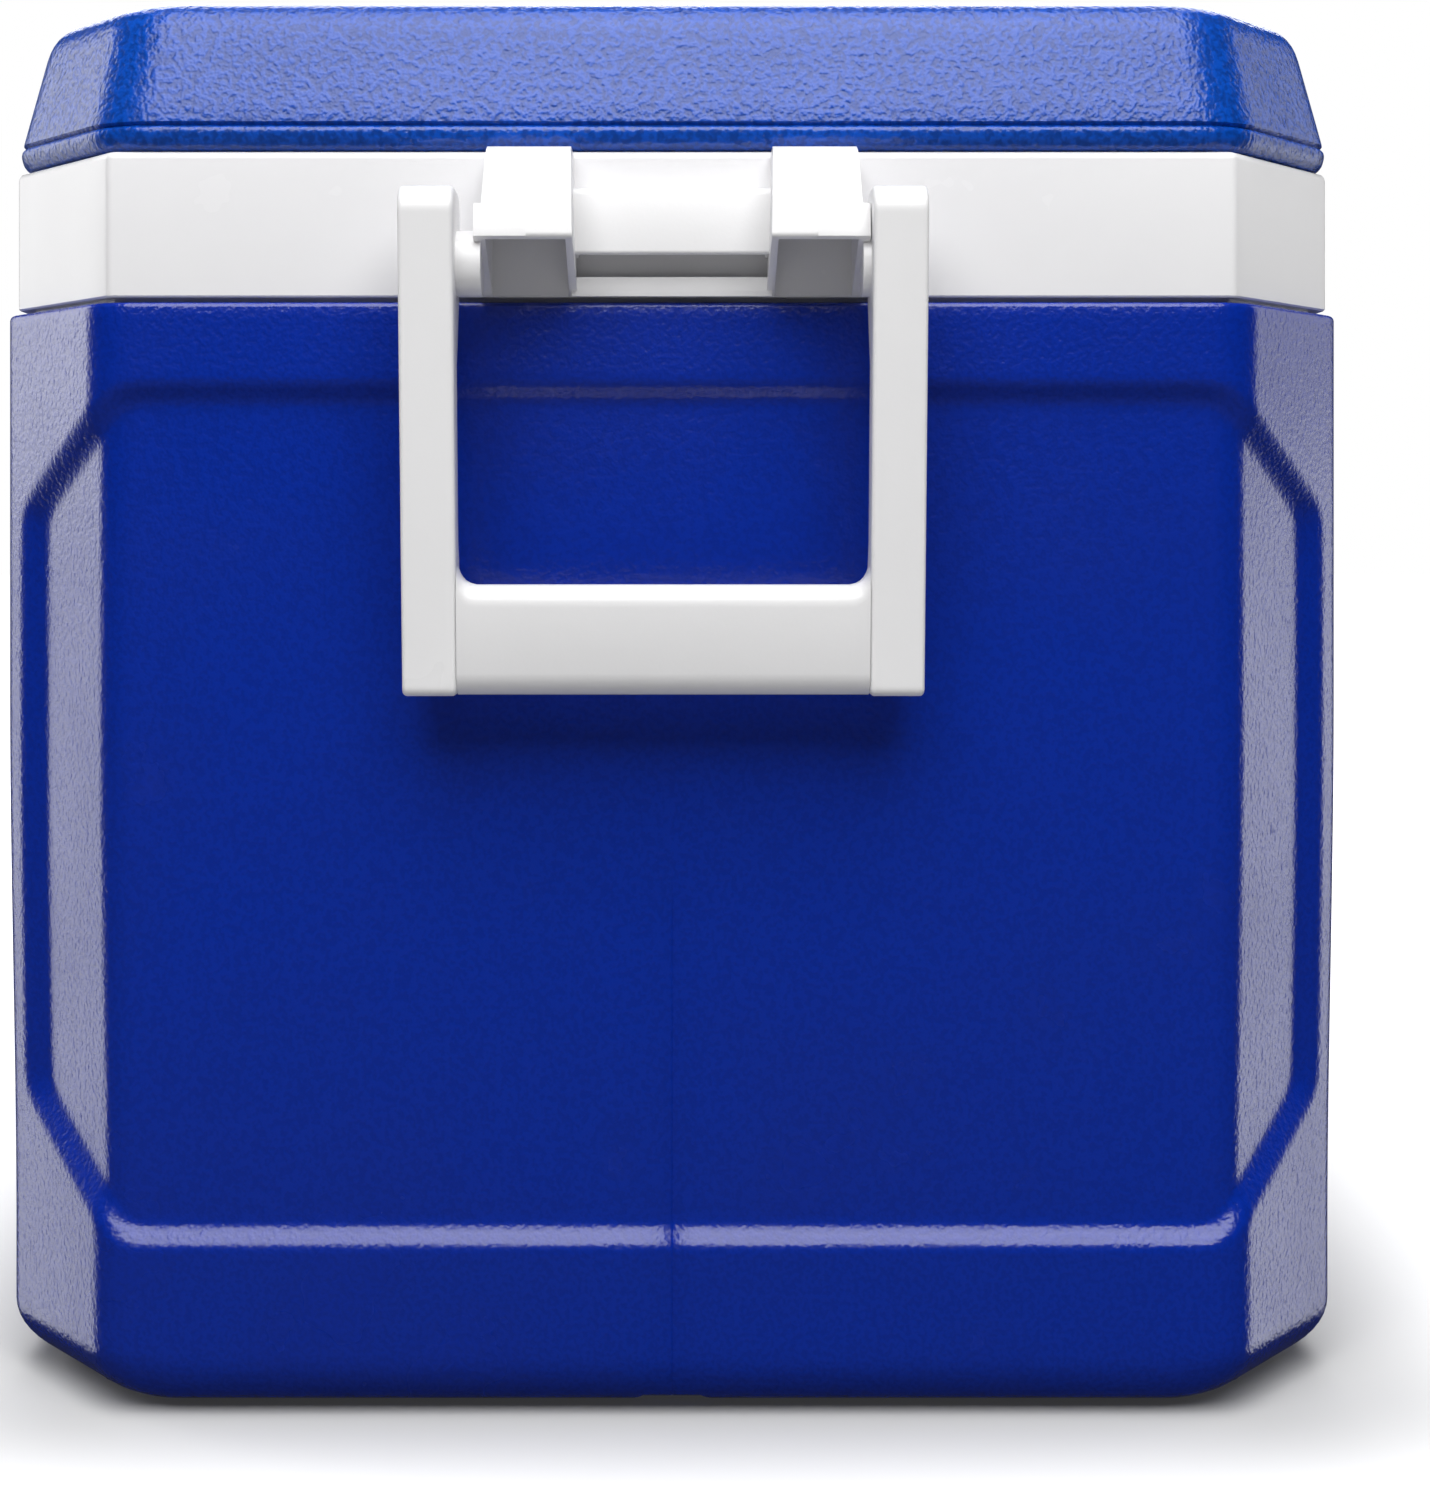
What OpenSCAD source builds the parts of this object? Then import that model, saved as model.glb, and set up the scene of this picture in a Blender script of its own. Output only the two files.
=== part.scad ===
// Hard-sided cooler chest: blue textured shell and lid, glossy white rim collar, a swing-up bail on
// each end, foam-filled walls, a white liner, two rear hinges and a push-pull drain.
// +X is the right end, -Y is the front, +Z is up. The origin is on the floor under the centre.

/* [Body] */
// Length of the blue body, without the handles
body_l = 604; // [590:1:640]
// Width of the blue body, front to back
body_w = 386; // [370:1:410]
// Height of the blue body's top edge above the floor
body_top = 307; // [290:1:330]
// Part of a corner's chamfer that runs along the length
chamfer_l = 50; // [46:1:56]
// Part of a corner's chamfer that runs across the width
chamfer_w = 37; // [34:1:42]
// Wall thickness of the plastic shells
wall = 2.5; // [2:0.1:3]
// Depth of the recessed panels in the body's faces
panel_depth = 4; // [3:0.5:5]
// Height of the corner feet
foot_h = 1.8; // [1:0.1:3]

/* [Tub] */
// Length of the tub at its mouth
tub_l = 528; // [500:1:540]
// Width of the tub at its mouth
tub_w = 310; // [290:1:316]
// Height of the tub's floor above the ground
tub_floor = 38; // [34:1:46]
// How much narrower each wall of the tub is at the floor
tub_draft = 7.5; // [4:0.5:10]

/* [Rim] */
// Open joint between the body's top edge and the white collar
collar_gap = 1.4; // [1:0.1:2]
// Height of the white collar
collar_h = 40.3; // [36:0.1:46]

/* [Lid] */
// Height of the lid
lid_h = 43.5; // [38:0.5:50]
// How far the lid sits towards the hinges in its slack
lid_slack = 0.3; // [0:0.1:0.6]

/* [Handles] */
// Overall width of a bail
bail_w = 139.4; // [139.4:0.2:142]
// Width of a bail's arm
bail_arm_w = 14.6; // [13:0.1:14.6]
// Distance of a bail's pivot from the body's end face
pivot_out = 20; // [19:0.1:21]
// Height of a bail's pivot above the floor
pivot_z = 315.5; // [314:0.5:317]
// Radius of the pivot bosses
pivot_r = 8.8; // [7:0.1:9]
// Radial running clearance of the pivots
pivot_clear = 0.06; // [0.02:0.01:0.1]
// How far a bail lies off centre in its side play
bail_slack = 2.3; // [0:0.1:2.3]

/* [Hinges] */
// Distance of each hinge from the middle of the lid
hinge_x = 170; // [120:5:200]
// Width of a hinge
hinge_w = 60; // [50:1:80]
// Radius of a hinge pin
hinge_pin_r = 2; // [1.5:0.1:2.2]

/* [Drain] */
// Height of the drain's centre above the floor
drain_z = 56; // [55:0.5:60]
// Travel of the drain plug
drain_travel = 14; // [10:0.5:14]

/* [Hidden] */
$fn = 64;

BLUE = "#0B339A";
WHITE = "#ECECEF";
FOAM = "#E8D9A8";
STEEL = "#B9BCC0";
RUBBER = "#1E1E20";

slip = 0.2;      // gap left between pieces that lie against each other
touch = 0.05;    // gap under a piece that is screwed down
over = 1;        // how far a cutter runs past what it cuts
arc_steps = 4;   // facets in one rounded corner of an outline

half_l = body_l / 2;
half_w = body_w / 2;
corner_r = 12;                       // rounding of the body's vertical edges
base_r = 18;                         // rounding of the body's bottom edge
collar_z = body_top + collar_gap;
rim_z = collar_z + collar_h;         // top of the collar, where the lid rests
collar_in = 1.3;                     // how far the collar is set in from the body
liner_flange = 19.8;                 // width of the liner's flange round the tub's mouth
tub_r = 20;                          // rounding of the tub's upright corners
lid_in = 0.8;                        // how far the lid's rim is set in from the body

// ---- outlines ----

function unit(v) = v / norm(v);

// The arc that rounds corner b between its neighbours a and c
function corner_arc(a, b, c, r, steps) =
    let (
        u = unit(a - b),
        v = unit(c - b),
        half = acos(u * v) / 2,
        centre = b + unit(u + v) * r / sin(half),
        start = b + u * r / tan(half) - centre,
        turn = sign(cross(b - a, c - b)) * (180 - 2 * half),
        first = atan2(start.y, start.x)
    )
    [for (i = [0:steps]) centre + r * [cos(first + turn * i / steps), sin(first + turn * i / steps)]];

// A closed outline with every corner rounded
function rounded(points, r, steps = arc_steps) =
    let (n = len(points))
    [for (i = [0:n - 1]) each corner_arc(points[(i + n - 1) % n], points[i], points[(i + 1) % n], r, steps)];

function rectangle(l, w) = [[l, -w], [l, w], [-l, w], [-l, -w]];

function octagon(l, w, cl, cw) = [
    [l, cw - w], [l, w - cw], [l - cl, w], [cl - l, w],
    [-l, w - cw], [-l, cw - w], [cl - l, -w], [l - cl, -w]
];

// The body's plan outline, moved inwards by a distance
function body_outline(inset, r = corner_r) =
    let (
        slope = norm([chamfer_l, chamfer_w]),
        nx = chamfer_w / slope,
        ny = chamfer_l / slope,
        cl = chamfer_l - inset * (1 - (1 - ny) / nx),
        cw = chamfer_w - inset * (1 - (1 - nx) / ny)
    )
    rounded(octagon(half_l - inset, half_w - inset, cl, cw), r);

// A solid through a stack of [height, outline] rings that all have as many points
module loft(rings) {
    n = len(rings[0][1]);
    last = len(rings) - 1;
    points = [for (ring = rings) each [for (p = ring[1]) [p.x, p.y, ring[0]]]];
    sides = [for (k = [0:last - 1], i = [0:n - 1])
        let (j = (i + 1) % n)
        [k * n + i, (k + 1) * n + i, (k + 1) * n + j, k * n + j]];
    floor_face = [for (i = [0:n - 1]) i];
    roof_face = [for (i = [0:n - 1]) last * n + n - 1 - i];
    polyhedron(points, concat(sides, [floor_face], [roof_face]), convexity = 6);
}

// An upright prism between two heights
module prism(outline, z0, z1) {
    translate([0, 0, z0]) linear_extrude(z1 - z0) polygon(outline);
}

// A prism along Y from an outline in the XZ plane
module prism_y(outline, y0, y1) {
    translate([0, y1, 0]) rotate([90, 0, 0]) linear_extrude(y1 - y0) polygon(outline);
}

// A prism along X from an outline in the YZ plane
module prism_x(outline, x0, x1) {
    translate([x0, 0, 0]) rotate([90, 0, 90]) linear_extrude(x1 - x0) polygon(outline);
}

module rod_x(r, x0, x1, y, z) {
    translate([x0, y, z]) rotate([0, 90, 0]) cylinder(r = r, h = x1 - x0);
}

module rod_y(r, y0, y1, x, z) {
    translate([x, y1, z]) rotate([90, 0, 0]) cylinder(r = r, h = y1 - y0);
}

// What is drawn for the right end, and its mirror image for the left end
module at_end(side) {
    if (side == "right") children();
    else mirror([1, 0, 0]) children();
}

// ---- body ----

panel_mid = 166.1;                   // height of the panels' middle
panel_half_h = 116.3;
panel_cut = 33;                      // size of a panel's cut corner
end_panel_half = half_w - 8.5;        // half width of an end panel, which runs onto the chamfers
side_panel_half = half_l - 64;
drain_pocket_r = 22;
groove_half = 16;                    // half width of the channel under the base
groove_h = 2.7;
shell_lip = 5.4;                     // how far the shell's top edge turns inwards
skirt_in = 5.6;                      // inset of the collar's locating skirt
skirt_out = 7.6;
skirt_z = body_top - 10;
band_foot = 3;                       // thickness of the collar's bottom ring
collar_r = 3;                        // rounding of the collar's vertical edges
screw_pocket = 10;                   // depth cleared behind the collar's face for a screw

// A panel's outline, with its corners cut off, grown by a distance
function panel_outline(half_width, grow) =
    let (w = half_width + grow, h = panel_half_h + grow, c = panel_cut)
    [for (p = [
        [w, c - h], [w, h - c], [w - c, h], [c - w, h],
        [-w, h - c], [-w, c - h], [c - w, -h], [w - c, -h]
    ]) [p.x, p.y + panel_mid]];

// The body's outer form, moved inwards everywhere by a distance
module body_form(inset) {
    r = max(base_r - inset, 4);
    base = foot_h + inset;
    plan_r = max(corner_r - inset, 4);
    fillet = [for (a = [90:-22.5:0])
        [base + r * (1 - sin(a)), body_outline(inset + r * (1 - cos(a)), plan_r)]];
    difference() {
        loft(concat(fillet, [[body_top - inset, body_outline(inset, plan_r)]]));
        difference() {
            union() {
                prism_x(panel_outline(end_panel_half, inset), -half_l - over, half_l + over);
                prism_y(panel_outline(side_panel_half, inset), -half_w - over, half_w + over);
                rod_x(drain_pocket_r + inset, -half_l - over, -half_l + body_l / 4, 0, drain_z);
            }
            prism(body_outline(inset + panel_depth, 4), 0, body_top + over);
        }
        prism_x(
            [
                [-groove_half - inset, 0],
                [groove_half + inset, 0],
                [groove_half / 2 + inset, base + groove_h],
                [-groove_half / 2 - inset, base + groove_h]
            ],
            -half_l - over, half_l + over
        );
    }
}

module foot_pads() {
    for (sx = [-1, 1], sy = [-1, 1])
        translate([sx * 235, sy * 136, 0])
            linear_extrude(foot_h + wall / 2) polygon(rounded(rectangle(36, 28), 8));
}

module outer_shell() {
    color(BLUE) difference() {
        union() {
            body_form(0);
            foot_pads();
        }
        intersection() {
            body_form(wall);
            prism(body_outline(-over), 0, body_top - wall);
        }
        prism(body_outline(shell_lip), body_top - wall - over, body_top + over);
        rod_x(drain_tube_r + slip, -half_l - over, -half_l + panel_depth + wall + over, 0, drain_z);
    }
}

// The tub's hollow, grown outwards everywhere by a distance
module tub_form(grow, top) {
    floor_r = 18;
    depth = rim_z - tub_floor;
    function ring(z, inset) =
        let (lean = tub_draft * (rim_z - z) / depth)
        [z, rounded(rectangle(tub_l / 2 + grow - lean - inset, tub_w / 2 + grow - lean - inset),
            tub_r + grow - inset / 2, 6)];
    loft(concat(
        [for (a = [90:-22.5:0]) ring(tub_floor - grow + floor_r * (1 - sin(a)), floor_r * (1 - cos(a)))],
        [ring(top, 0)]
    ));
}

function mouth_outline(grow) = rounded(rectangle(tub_l / 2 + grow, tub_w / 2 + grow), tub_r + grow, 6);

module inner_liner() {
    color(WHITE) difference() {
        union() {
            tub_form(wall, rim_z);
            prism(mouth_outline(liner_flange), rim_z - wall, rim_z);
            rod_x(drain_boss_r, -drain_boss_x, -drain_seat_x + seat_reach, 0, drain_z);
        }
        difference() {
            tub_form(0, rim_z + over);
            rod_x(drain_boss_r, -half_l, -drain_seat_x, 0, drain_z);
        }
        rod_x(drain_boss_r - wall, -drain_seat_x, -drain_seat_x + seat_reach + over, 0, drain_z);
        rod_x(drain_tube_r + slip, -half_l, -drain_seat_x + over, 0, drain_z);
    }
}

module rim_collar() {
    color(WHITE) difference() {
        union() {
            loft([
                [collar_z, body_outline(collar_in, collar_r)],
                [rim_z - 2, body_outline(collar_in, collar_r)],
                [rim_z - 0.6, body_outline(collar_in + 0.6, collar_r)],
                [rim_z, body_outline(collar_in + 2, collar_r)]
            ]);
            prism(body_outline(skirt_in), skirt_z, collar_z + over);
        }
        prism(body_outline(skirt_out), skirt_z - over, collar_z + band_foot + over);
        prism(body_outline(collar_in + wall), collar_z + band_foot, rim_z - wall);
        prism(mouth_outline(liner_flange + slip), rim_z - wall - over, rim_z + over);
        for (side = ["right", "left"]) at_end(side) mount_screw_sites()
            rod_x(mount_screw_r, -screw_pocket, over, 0, 0);
        hinge_sites() for (x = hinge_screw_x) rod_y(hinge_screw_r, -screw_pocket, over, x, hinge_screw_z);
    }
}

module body_insulation() {
    color(FOAM) difference() {
        union() {
            intersection() {
                body_form(wall + slip);
                prism(body_outline(0), 0, skirt_z - slip);
            }
            prism(body_outline(skirt_out + slip), skirt_z - over, rim_z - wall - slip);
            prism(body_outline(collar_in + wall + slip), collar_z + band_foot + slip, rim_z - wall - slip);
        }
        tub_form(wall + slip, rim_z + over);
        rod_x(drain_tube_r + slip, -half_l, -drain_seat_x + over, 0, drain_z);
        rod_x(drain_boss_r + slip, -drain_boss_x - slip, -drain_seat_x + seat_reach + slip, 0, drain_z);
        for (side = ["right", "left"]) at_end(side) mount_screw_sites()
            rod_x(mount_head_r + slip, -screw_pocket, over, 0, 0);
        hinge_sites() for (x = hinge_screw_x)
            rod_y(hinge_screw_r + slip, -hinge_screw_l - slip, over, x, hinge_screw_z);
    }
}

// ---- handle mounts ----

face_x = half_l - collar_in;         // the collar's end face
bracket_in = 26.5;                   // from the middle to a bracket's inner face
bracket_out = 50.7;                  // from the middle to its outer face
ear_out = 52.5;                      // from the middle to the outer face of the pivot ear
bracket_wall = 1.7;
bracket_d = 30;                      // how far a bracket stands out from the body's end face
bracket_h = 39.8;                    // from the collar's foot to a bracket's top
ear_h = 22.5;                        // from the collar's foot to the top of the pivot ear
boss_end = 64;                       // from the middle to a pivot boss's end
post_r = 4;
mount_screw_y = 39;
mount_screw_z = 338;
mount_screw_r = 1.6;
mount_head_r = 3.6;
mount_screw_l = 16;
screw_head_t = 2.2;

// The bracket's side profile, moved inwards by a wall. It runs past the face and the open bottom by past.
function bracket_profile(inset, past) = [
    [face_x - past, collar_z - past],
    [half_l + bracket_d - inset, collar_z + 13.6 - 4 * past],
    [half_l + bracket_d - inset, collar_z + 13.9],
    [half_l + 27.6 - inset, collar_z + ear_h],
    [half_l + 20.6 - inset, collar_z + 33.4 - inset / 2],
    [half_l + 16.6 - inset / 2, collar_z + 38 - inset],
    [half_l + 11.6, collar_z + bracket_h - inset],
    [face_x - past, collar_z + bracket_h - inset]
];

ear_profile = [
    [face_x, collar_z],
    [half_l + bracket_d, collar_z + 13.6],
    [half_l + 27.7, collar_z + ear_h],
    [face_x, collar_z + ear_h]
];

pad_profile = rounded([
    [face_x, collar_z + 10.8],
    [half_l + 9.5, collar_z + 10.8],
    [half_l + 8, collar_z + 29],
    [face_x, collar_z + 29]
], 0.6);

// Puts its children at each of the two screws of a handle mount, with X counted from the collar's face
module mount_screw_sites() {
    for (s = [-1, 1]) translate([face_x, s * mount_screw_y, mount_screw_z]) children();
}

module bracket() {
    difference() {
        union() {
            prism_y(bracket_profile(0, 0), bracket_in, bracket_out);
            prism_y(ear_profile, bracket_out - touch, ear_out);
            rod_y(pivot_r, bracket_out, boss_end, half_l + pivot_out, pivot_z);
        }
        difference() {
            prism_y(bracket_profile(bracket_wall, over), bracket_in + bracket_wall, bracket_out - 2 * touch);
            rod_x(post_r, face_x, half_l + 24, mount_screw_y, mount_screw_z);
        }
    }
}

module handle_mount() {
    lip_outline = rounded([
        [face_x, -bracket_in - touch], [half_l + 2.4, -bracket_in - touch],
        [half_l + 2.4, bracket_in + touch], [face_x, bracket_in + touch]
    ], 0.4);
    color(WHITE) difference() {
        union() {
            bracket();
            mirror([0, 1, 0]) bracket();
            prism_y(pad_profile, -bracket_in - touch, bracket_in + touch);
            prism(lip_outline, collar_z, collar_z + 5.2);
        }
        prism_y(
            [
                [face_x - over, collar_z + 10], [half_l + 7.5, collar_z + 10],
                [half_l + 6, collar_z + 27], [face_x - over, collar_z + 27]
            ],
            -bracket_in + 1, bracket_in - 1
        );
        mount_screw_sites() rod_x(mount_screw_r, -over, mount_screw_l - wall, 0, 0);
    }
}

module handle_screws() {
    color(STEEL) mount_screw_sites() {
        rod_x(mount_screw_r, -wall - touch, mount_screw_l - wall - 1, 0, 0);
        rod_x(mount_head_r, -wall - screw_head_t, -wall, 0, 0);
    }
}

module handle_mount_right() at_end("right") handle_mount();
module handle_mount_left() at_end("left") handle_mount();
module handle_screws_right() at_end("right") handle_screws();
module handle_screws_left() at_end("left") handle_screws();

// ---- bails ----

bail_foot_z = 200;                   // bottom of the arms when the bail hangs
bail_top_z = 335.3;                  // top of the arms
bail_foot_out = 23.4;                // from the end face to the front of an arm's foot
bail_lean = 0.1;                     // how much the front of an arm leans out for each mm of height
eye_r = 11.3;
grip_z = 215;
grip_half_h = 14.8;
grip_half_d = 7.4;

function arm_front(z) = half_l + bail_foot_out + bail_lean * (z - bail_foot_z);

bail_inner = bail_w / 2 - bail_arm_w;
bore_depth = boss_end + 0.3 - (bail_inner - bail_slack);
core_in = 3;                         // how far the bar inside the grip is set in from its skin
core_r = 2.5;
pivot_x = half_l + pivot_out;

arm_profile = concat(
    corner_arc([arm_front(240), 240], [arm_front(bail_foot_z), bail_foot_z], [half_l, bail_foot_z], 2.5, 4),
    corner_arc([half_l + 15, bail_foot_z], [half_l + 5.6, bail_foot_z], [half_l + 6.8, 222], 4, 4),
    [[half_l + 6.8, 226], [arm_front(242) - 12, 242], [arm_front(288) - 12, 288]],
    [for (a = [215:-15:155]) [pivot_x + eye_r * cos(a), pivot_z + eye_r * sin(a)]],
    [[pivot_x - 8.6, pivot_z + 16.6], [pivot_x - 5.4, bail_top_z]],
    corner_arc([pivot_x - 5.4, bail_top_z], [arm_front(bail_top_z), bail_top_z],
        [arm_front(240), 240], 7, 6)
);

module arm(inner_y, s) {
    difference() {
        prism_y(arm_profile, min(inner_y, inner_y + s * bail_arm_w), max(inner_y, inner_y + s * bail_arm_w));
        rod_y(pivot_r + pivot_clear, min(inner_y - s, inner_y + s * bore_depth),
            max(inner_y - s, inner_y + s * bore_depth), pivot_x, pivot_z);
    }
}

grip_x = arm_front(grip_z) - grip_half_d - 0.4;

// The grip's profile, moved inwards by a distance
function grip_profile(inset, r) = [
    for (p = rounded(rectangle(grip_half_d - inset, grip_half_h - inset), r, 5))
        [grip_x + p.x + bail_lean * p.y, grip_z + p.y]
];

module bail() {
    color(WHITE) translate([0, -bail_slack, 0]) {
        arm(bail_inner, 1);
        arm(-bail_inner, -1);
        prism_y(grip_profile(core_in, core_r), -bail_inner - touch, bail_inner + touch);
    }
}

module grip() {
    color(WHITE) translate([0, -bail_slack, 0]) difference() {
        prism_y(grip_profile(0, 6), touch - bail_inner, bail_inner - touch);
        prism_y(grip_profile(core_in - touch, core_r), -bail_inner - over, bail_inner + over);
    }
}

module bail_right() at_end("right") bail();
module bail_left() at_end("left") bail();
module grip_right() at_end("right") grip();
module grip_left() at_end("left") grip();

// ---- hinges ----

rear_y = half_w - collar_in;         // the collar's rear face
hinge_y = rear_y + 6.9;
hinge_z = rim_z + 1.3;
knuckle_r = 4.6;
knuckle_half = 10;                   // half length of the lid's knuckle
knuckle_gap = 0.4;
leaf_t = 2.7;
pin_head_t = 1.2;
hinge_screw_r = 1.9;
hinge_head_r = 3.6;
hinge_screw_l = 14;
hinge_screw_z = rim_z - 18;
hinge_screw_x = [-20, 20];
wall_lean = atan(7.0 / 27.4);         // lean of the lid's walls
leaf_z = rim_z + 8.1;                // bottom edge of the leaf on the lid
leaf_l = 24;
lid_wall_y = half_w - lid_in + lid_slack;

// Puts its children at each hinge, with Y counted from the collar's rear face
module hinge_sites() {
    for (x = [-hinge_x, hinge_x]) translate([x, rear_y, 0]) children();
}

// Puts its children in a hinge's place, X counted from its middle
module hinge_place(side) {
    translate([side == "right" ? hinge_x : -hinge_x, 0, 0]) children();
}

module knuckle(x0, x1) {
    rod_x(knuckle_r, x0, x1, hinge_y, hinge_z);
}

module hinge_base() {
    x_in = knuckle_half + knuckle_gap;
    x_out = hinge_w / 2;
    color(WHITE) difference() {
        union() {
            prism_x(
                [
                    [rear_y + touch, rim_z - 29], [rear_y + touch + leaf_t, rim_z - 29],
                    [rear_y + touch + leaf_t, rim_z - 5], [rear_y + touch, rim_z - 5]
                ],
                -x_out, x_out
            );
            for (s = [-1, 1]) {
                knuckle(min(s * x_in, s * x_out), max(s * x_in, s * x_out));
                prism_x(
                    [
                        [rear_y + touch, rim_z - 12], [rear_y + touch + leaf_t, rim_z - 12],
                        [hinge_y + 4.1, hinge_z - 2], [hinge_y, hinge_z],
                        [hinge_y - 4.2, hinge_z - 0.6], [rear_y + touch, rim_z - 5]
                    ],
                    min(s * x_in, s * x_out), max(s * x_in, s * x_out)
                );
            }
        }
        rod_x(hinge_pin_r, -hinge_w, hinge_w, hinge_y, hinge_z);
        for (x = hinge_screw_x)
            rod_y(hinge_screw_r + slip, rear_y - over, rear_y + 2 * leaf_t, x, hinge_screw_z);
    }
}

// Turns its children to lie on the lid's leaning rear wall: X along it, Y out of it, Z up it
module on_lid_wall() {
    translate([0, lid_wall_y - touch, leaf_z - 1.4]) rotate([wall_lean, 0, 0]) children();
}

module hinge_leaf() {
    color(WHITE) difference() {
        union() {
            on_lid_wall() translate([-hinge_w / 2, touch, 0]) cube([hinge_w, leaf_t, leaf_l]);
            knuckle(-knuckle_half, knuckle_half);
            prism_x(
                [
                    [hinge_y - 3.2, hinge_z + 3.3], [hinge_y, hinge_z],
                    [hinge_y + 4.5, hinge_z + 0.9], [lid_wall_y + 2, leaf_z + 5],
                    [lid_wall_y - 0.1, leaf_z + 4], [lid_wall_y + 0.9, leaf_z - 0.8]
                ],
                -knuckle_half, knuckle_half
            );
        }
        rod_x(hinge_pin_r + pivot_clear, -knuckle_half - over, knuckle_half + over, hinge_y, hinge_z);
        for (x = hinge_screw_x)
            on_lid_wall() rod_y(hinge_screw_r + slip, -over, 2 * leaf_t, x, leaf_l / 2);
    }
}

module hinge_pin() {
    color(STEEL) {
        rod_x(hinge_pin_r, -hinge_w / 2 - touch, hinge_w / 2 + touch, hinge_y, hinge_z);
        for (x = [-hinge_w / 2 - touch - pin_head_t, hinge_w / 2 + touch])
            rod_x(hinge_pin_r + 1, x, x + pin_head_t, hinge_y, hinge_z);
    }
}

module hinge_screws_base() {
    color(STEEL) hinge_sites() for (x = hinge_screw_x) {
        rod_y(hinge_screw_r, -hinge_screw_l, touch + leaf_t + touch, x, hinge_screw_z);
        rod_y(hinge_head_r, touch + leaf_t, touch + leaf_t + 2, x, hinge_screw_z);
    }
}

module hinge_screws_lid() {
    color(STEEL) for (side = ["right", "left"]) hinge_place(side) on_lid_wall() for (x = hinge_screw_x) {
        rod_y(hinge_screw_r, -hinge_screw_l, touch + leaf_t + touch, x, leaf_l / 2);
        rod_y(hinge_head_r, touch + leaf_t, touch + leaf_t + 2, x, leaf_l / 2);
    }
}

module hinge_base_right() hinge_place("right") hinge_base();
module hinge_base_left() hinge_place("left") hinge_base();
module hinge_leaf_right() hinge_place("right") hinge_leaf();
module hinge_leaf_left() hinge_place("left") hinge_leaf();
module hinge_pin_right() hinge_place("right") hinge_pin();
module hinge_pin_left() hinge_place("left") hinge_pin();

// ---- lid ----

lid_rest = 0.3;                      // gap between the lid's rim and the collar
lid_z = rim_z + lid_rest;
lid_top = lid_z + lid_h;
lid_r = 17;
bead_h = 7.9;                        // height of the bead round the lid's rim
lip_half = 60;                       // half width of the finger lip
lip_reach = 10.5;                    // how far it stands out from the body's front
lip_h = 4.5;
plug_gap = 2.5;                      // gap between the lid's plug and the tub
plug_depth = 15;
seat_depth = 1.5;                    // depth of the shallow field in the lid's top
seat_r = 24;

// The lid's outer form: [height above its rim, inset] pairs from the rim up
lid_steps = [
    [0, 3.2], [1.2, 1.5], [3.2, 0.3], [5.2, 0], [6.4, 0.4], [6.9, 1.5], [7.9, 0.5],
    [35.3, 7.5], [38.9, 9.3], [41.6, 12.3], [43.1, 16.3], [43.5, 20.5]
];

module lid_form(inset) {
    top_scale = lid_h / lid_steps[len(lid_steps) - 1][0];
    loft([for (s = lid_steps)
        let (z = lid_z + s[0] * top_scale - (s[0] > bead_h ? inset : 0))
        [z, body_outline(lid_in + s[1] + inset, lid_r)]]);
}

module lid_shell() {
    color(BLUE) difference() {
        translate([0, lid_slack, 0]) difference() {
            union() {
                lid_form(0);
                translate([0, -half_w, 0])
                    prism(rounded(rectangle(lip_half, lip_reach), 8), lid_z, lid_z + lip_h);
            }
            lid_form(wall);
            prism(body_outline(lid_in + 3.2 + wall), lid_z - over, lid_z + 8);
            prism(rounded(rectangle(half_l - 60, half_w - 54), seat_r), lid_top - seat_depth, lid_top + over);
        }
        for (side = ["right", "left"]) hinge_place(side) on_lid_wall() for (x = hinge_screw_x)
            rod_y(hinge_screw_r, -hinge_screw_l, over, x, leaf_l / 2);
    }
}

lid_panel_t = 2.5;
lid_panel_in = lid_in + 3.2 + wall + slip;
lid_plug_lean = 0.4;

module lid_plug(inset, top) {
    plug = plug_gap + inset;
    loft([
        [lid_z - plug_depth + inset, mouth_outline(-plug - 4 - lid_plug_lean)],
        [lid_z - plug_depth + 4 + inset, mouth_outline(-plug - lid_plug_lean)],
        [top, mouth_outline(-plug)]
    ]);
}

module lid_liner() {
    color(WHITE) translate([0, lid_slack, 0]) difference() {
        union() {
            prism(body_outline(lid_panel_in), lid_z, lid_z + lid_panel_t);
            lid_plug(0, lid_z + lid_panel_t);
        }
        lid_plug(wall, lid_z + lid_panel_t + over);
    }
}

module lid_insulation() {
    color(FOAM) difference() {
        translate([0, lid_slack, 0]) {
            intersection() {
                lid_form(wall + slip);
                prism(body_outline(0), lid_z + lid_panel_t + slip, lid_top - wall - seat_depth - slip);
            }
            lid_plug(wall + slip, lid_z + lid_panel_t + slip + over);
        }
        for (side = ["right", "left"]) hinge_place(side) on_lid_wall() for (x = hinge_screw_x)
            rod_y(hinge_screw_r + slip, -hinge_screw_l - slip, over, x, leaf_l / 2);
    }
}

// ---- drain ----

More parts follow.
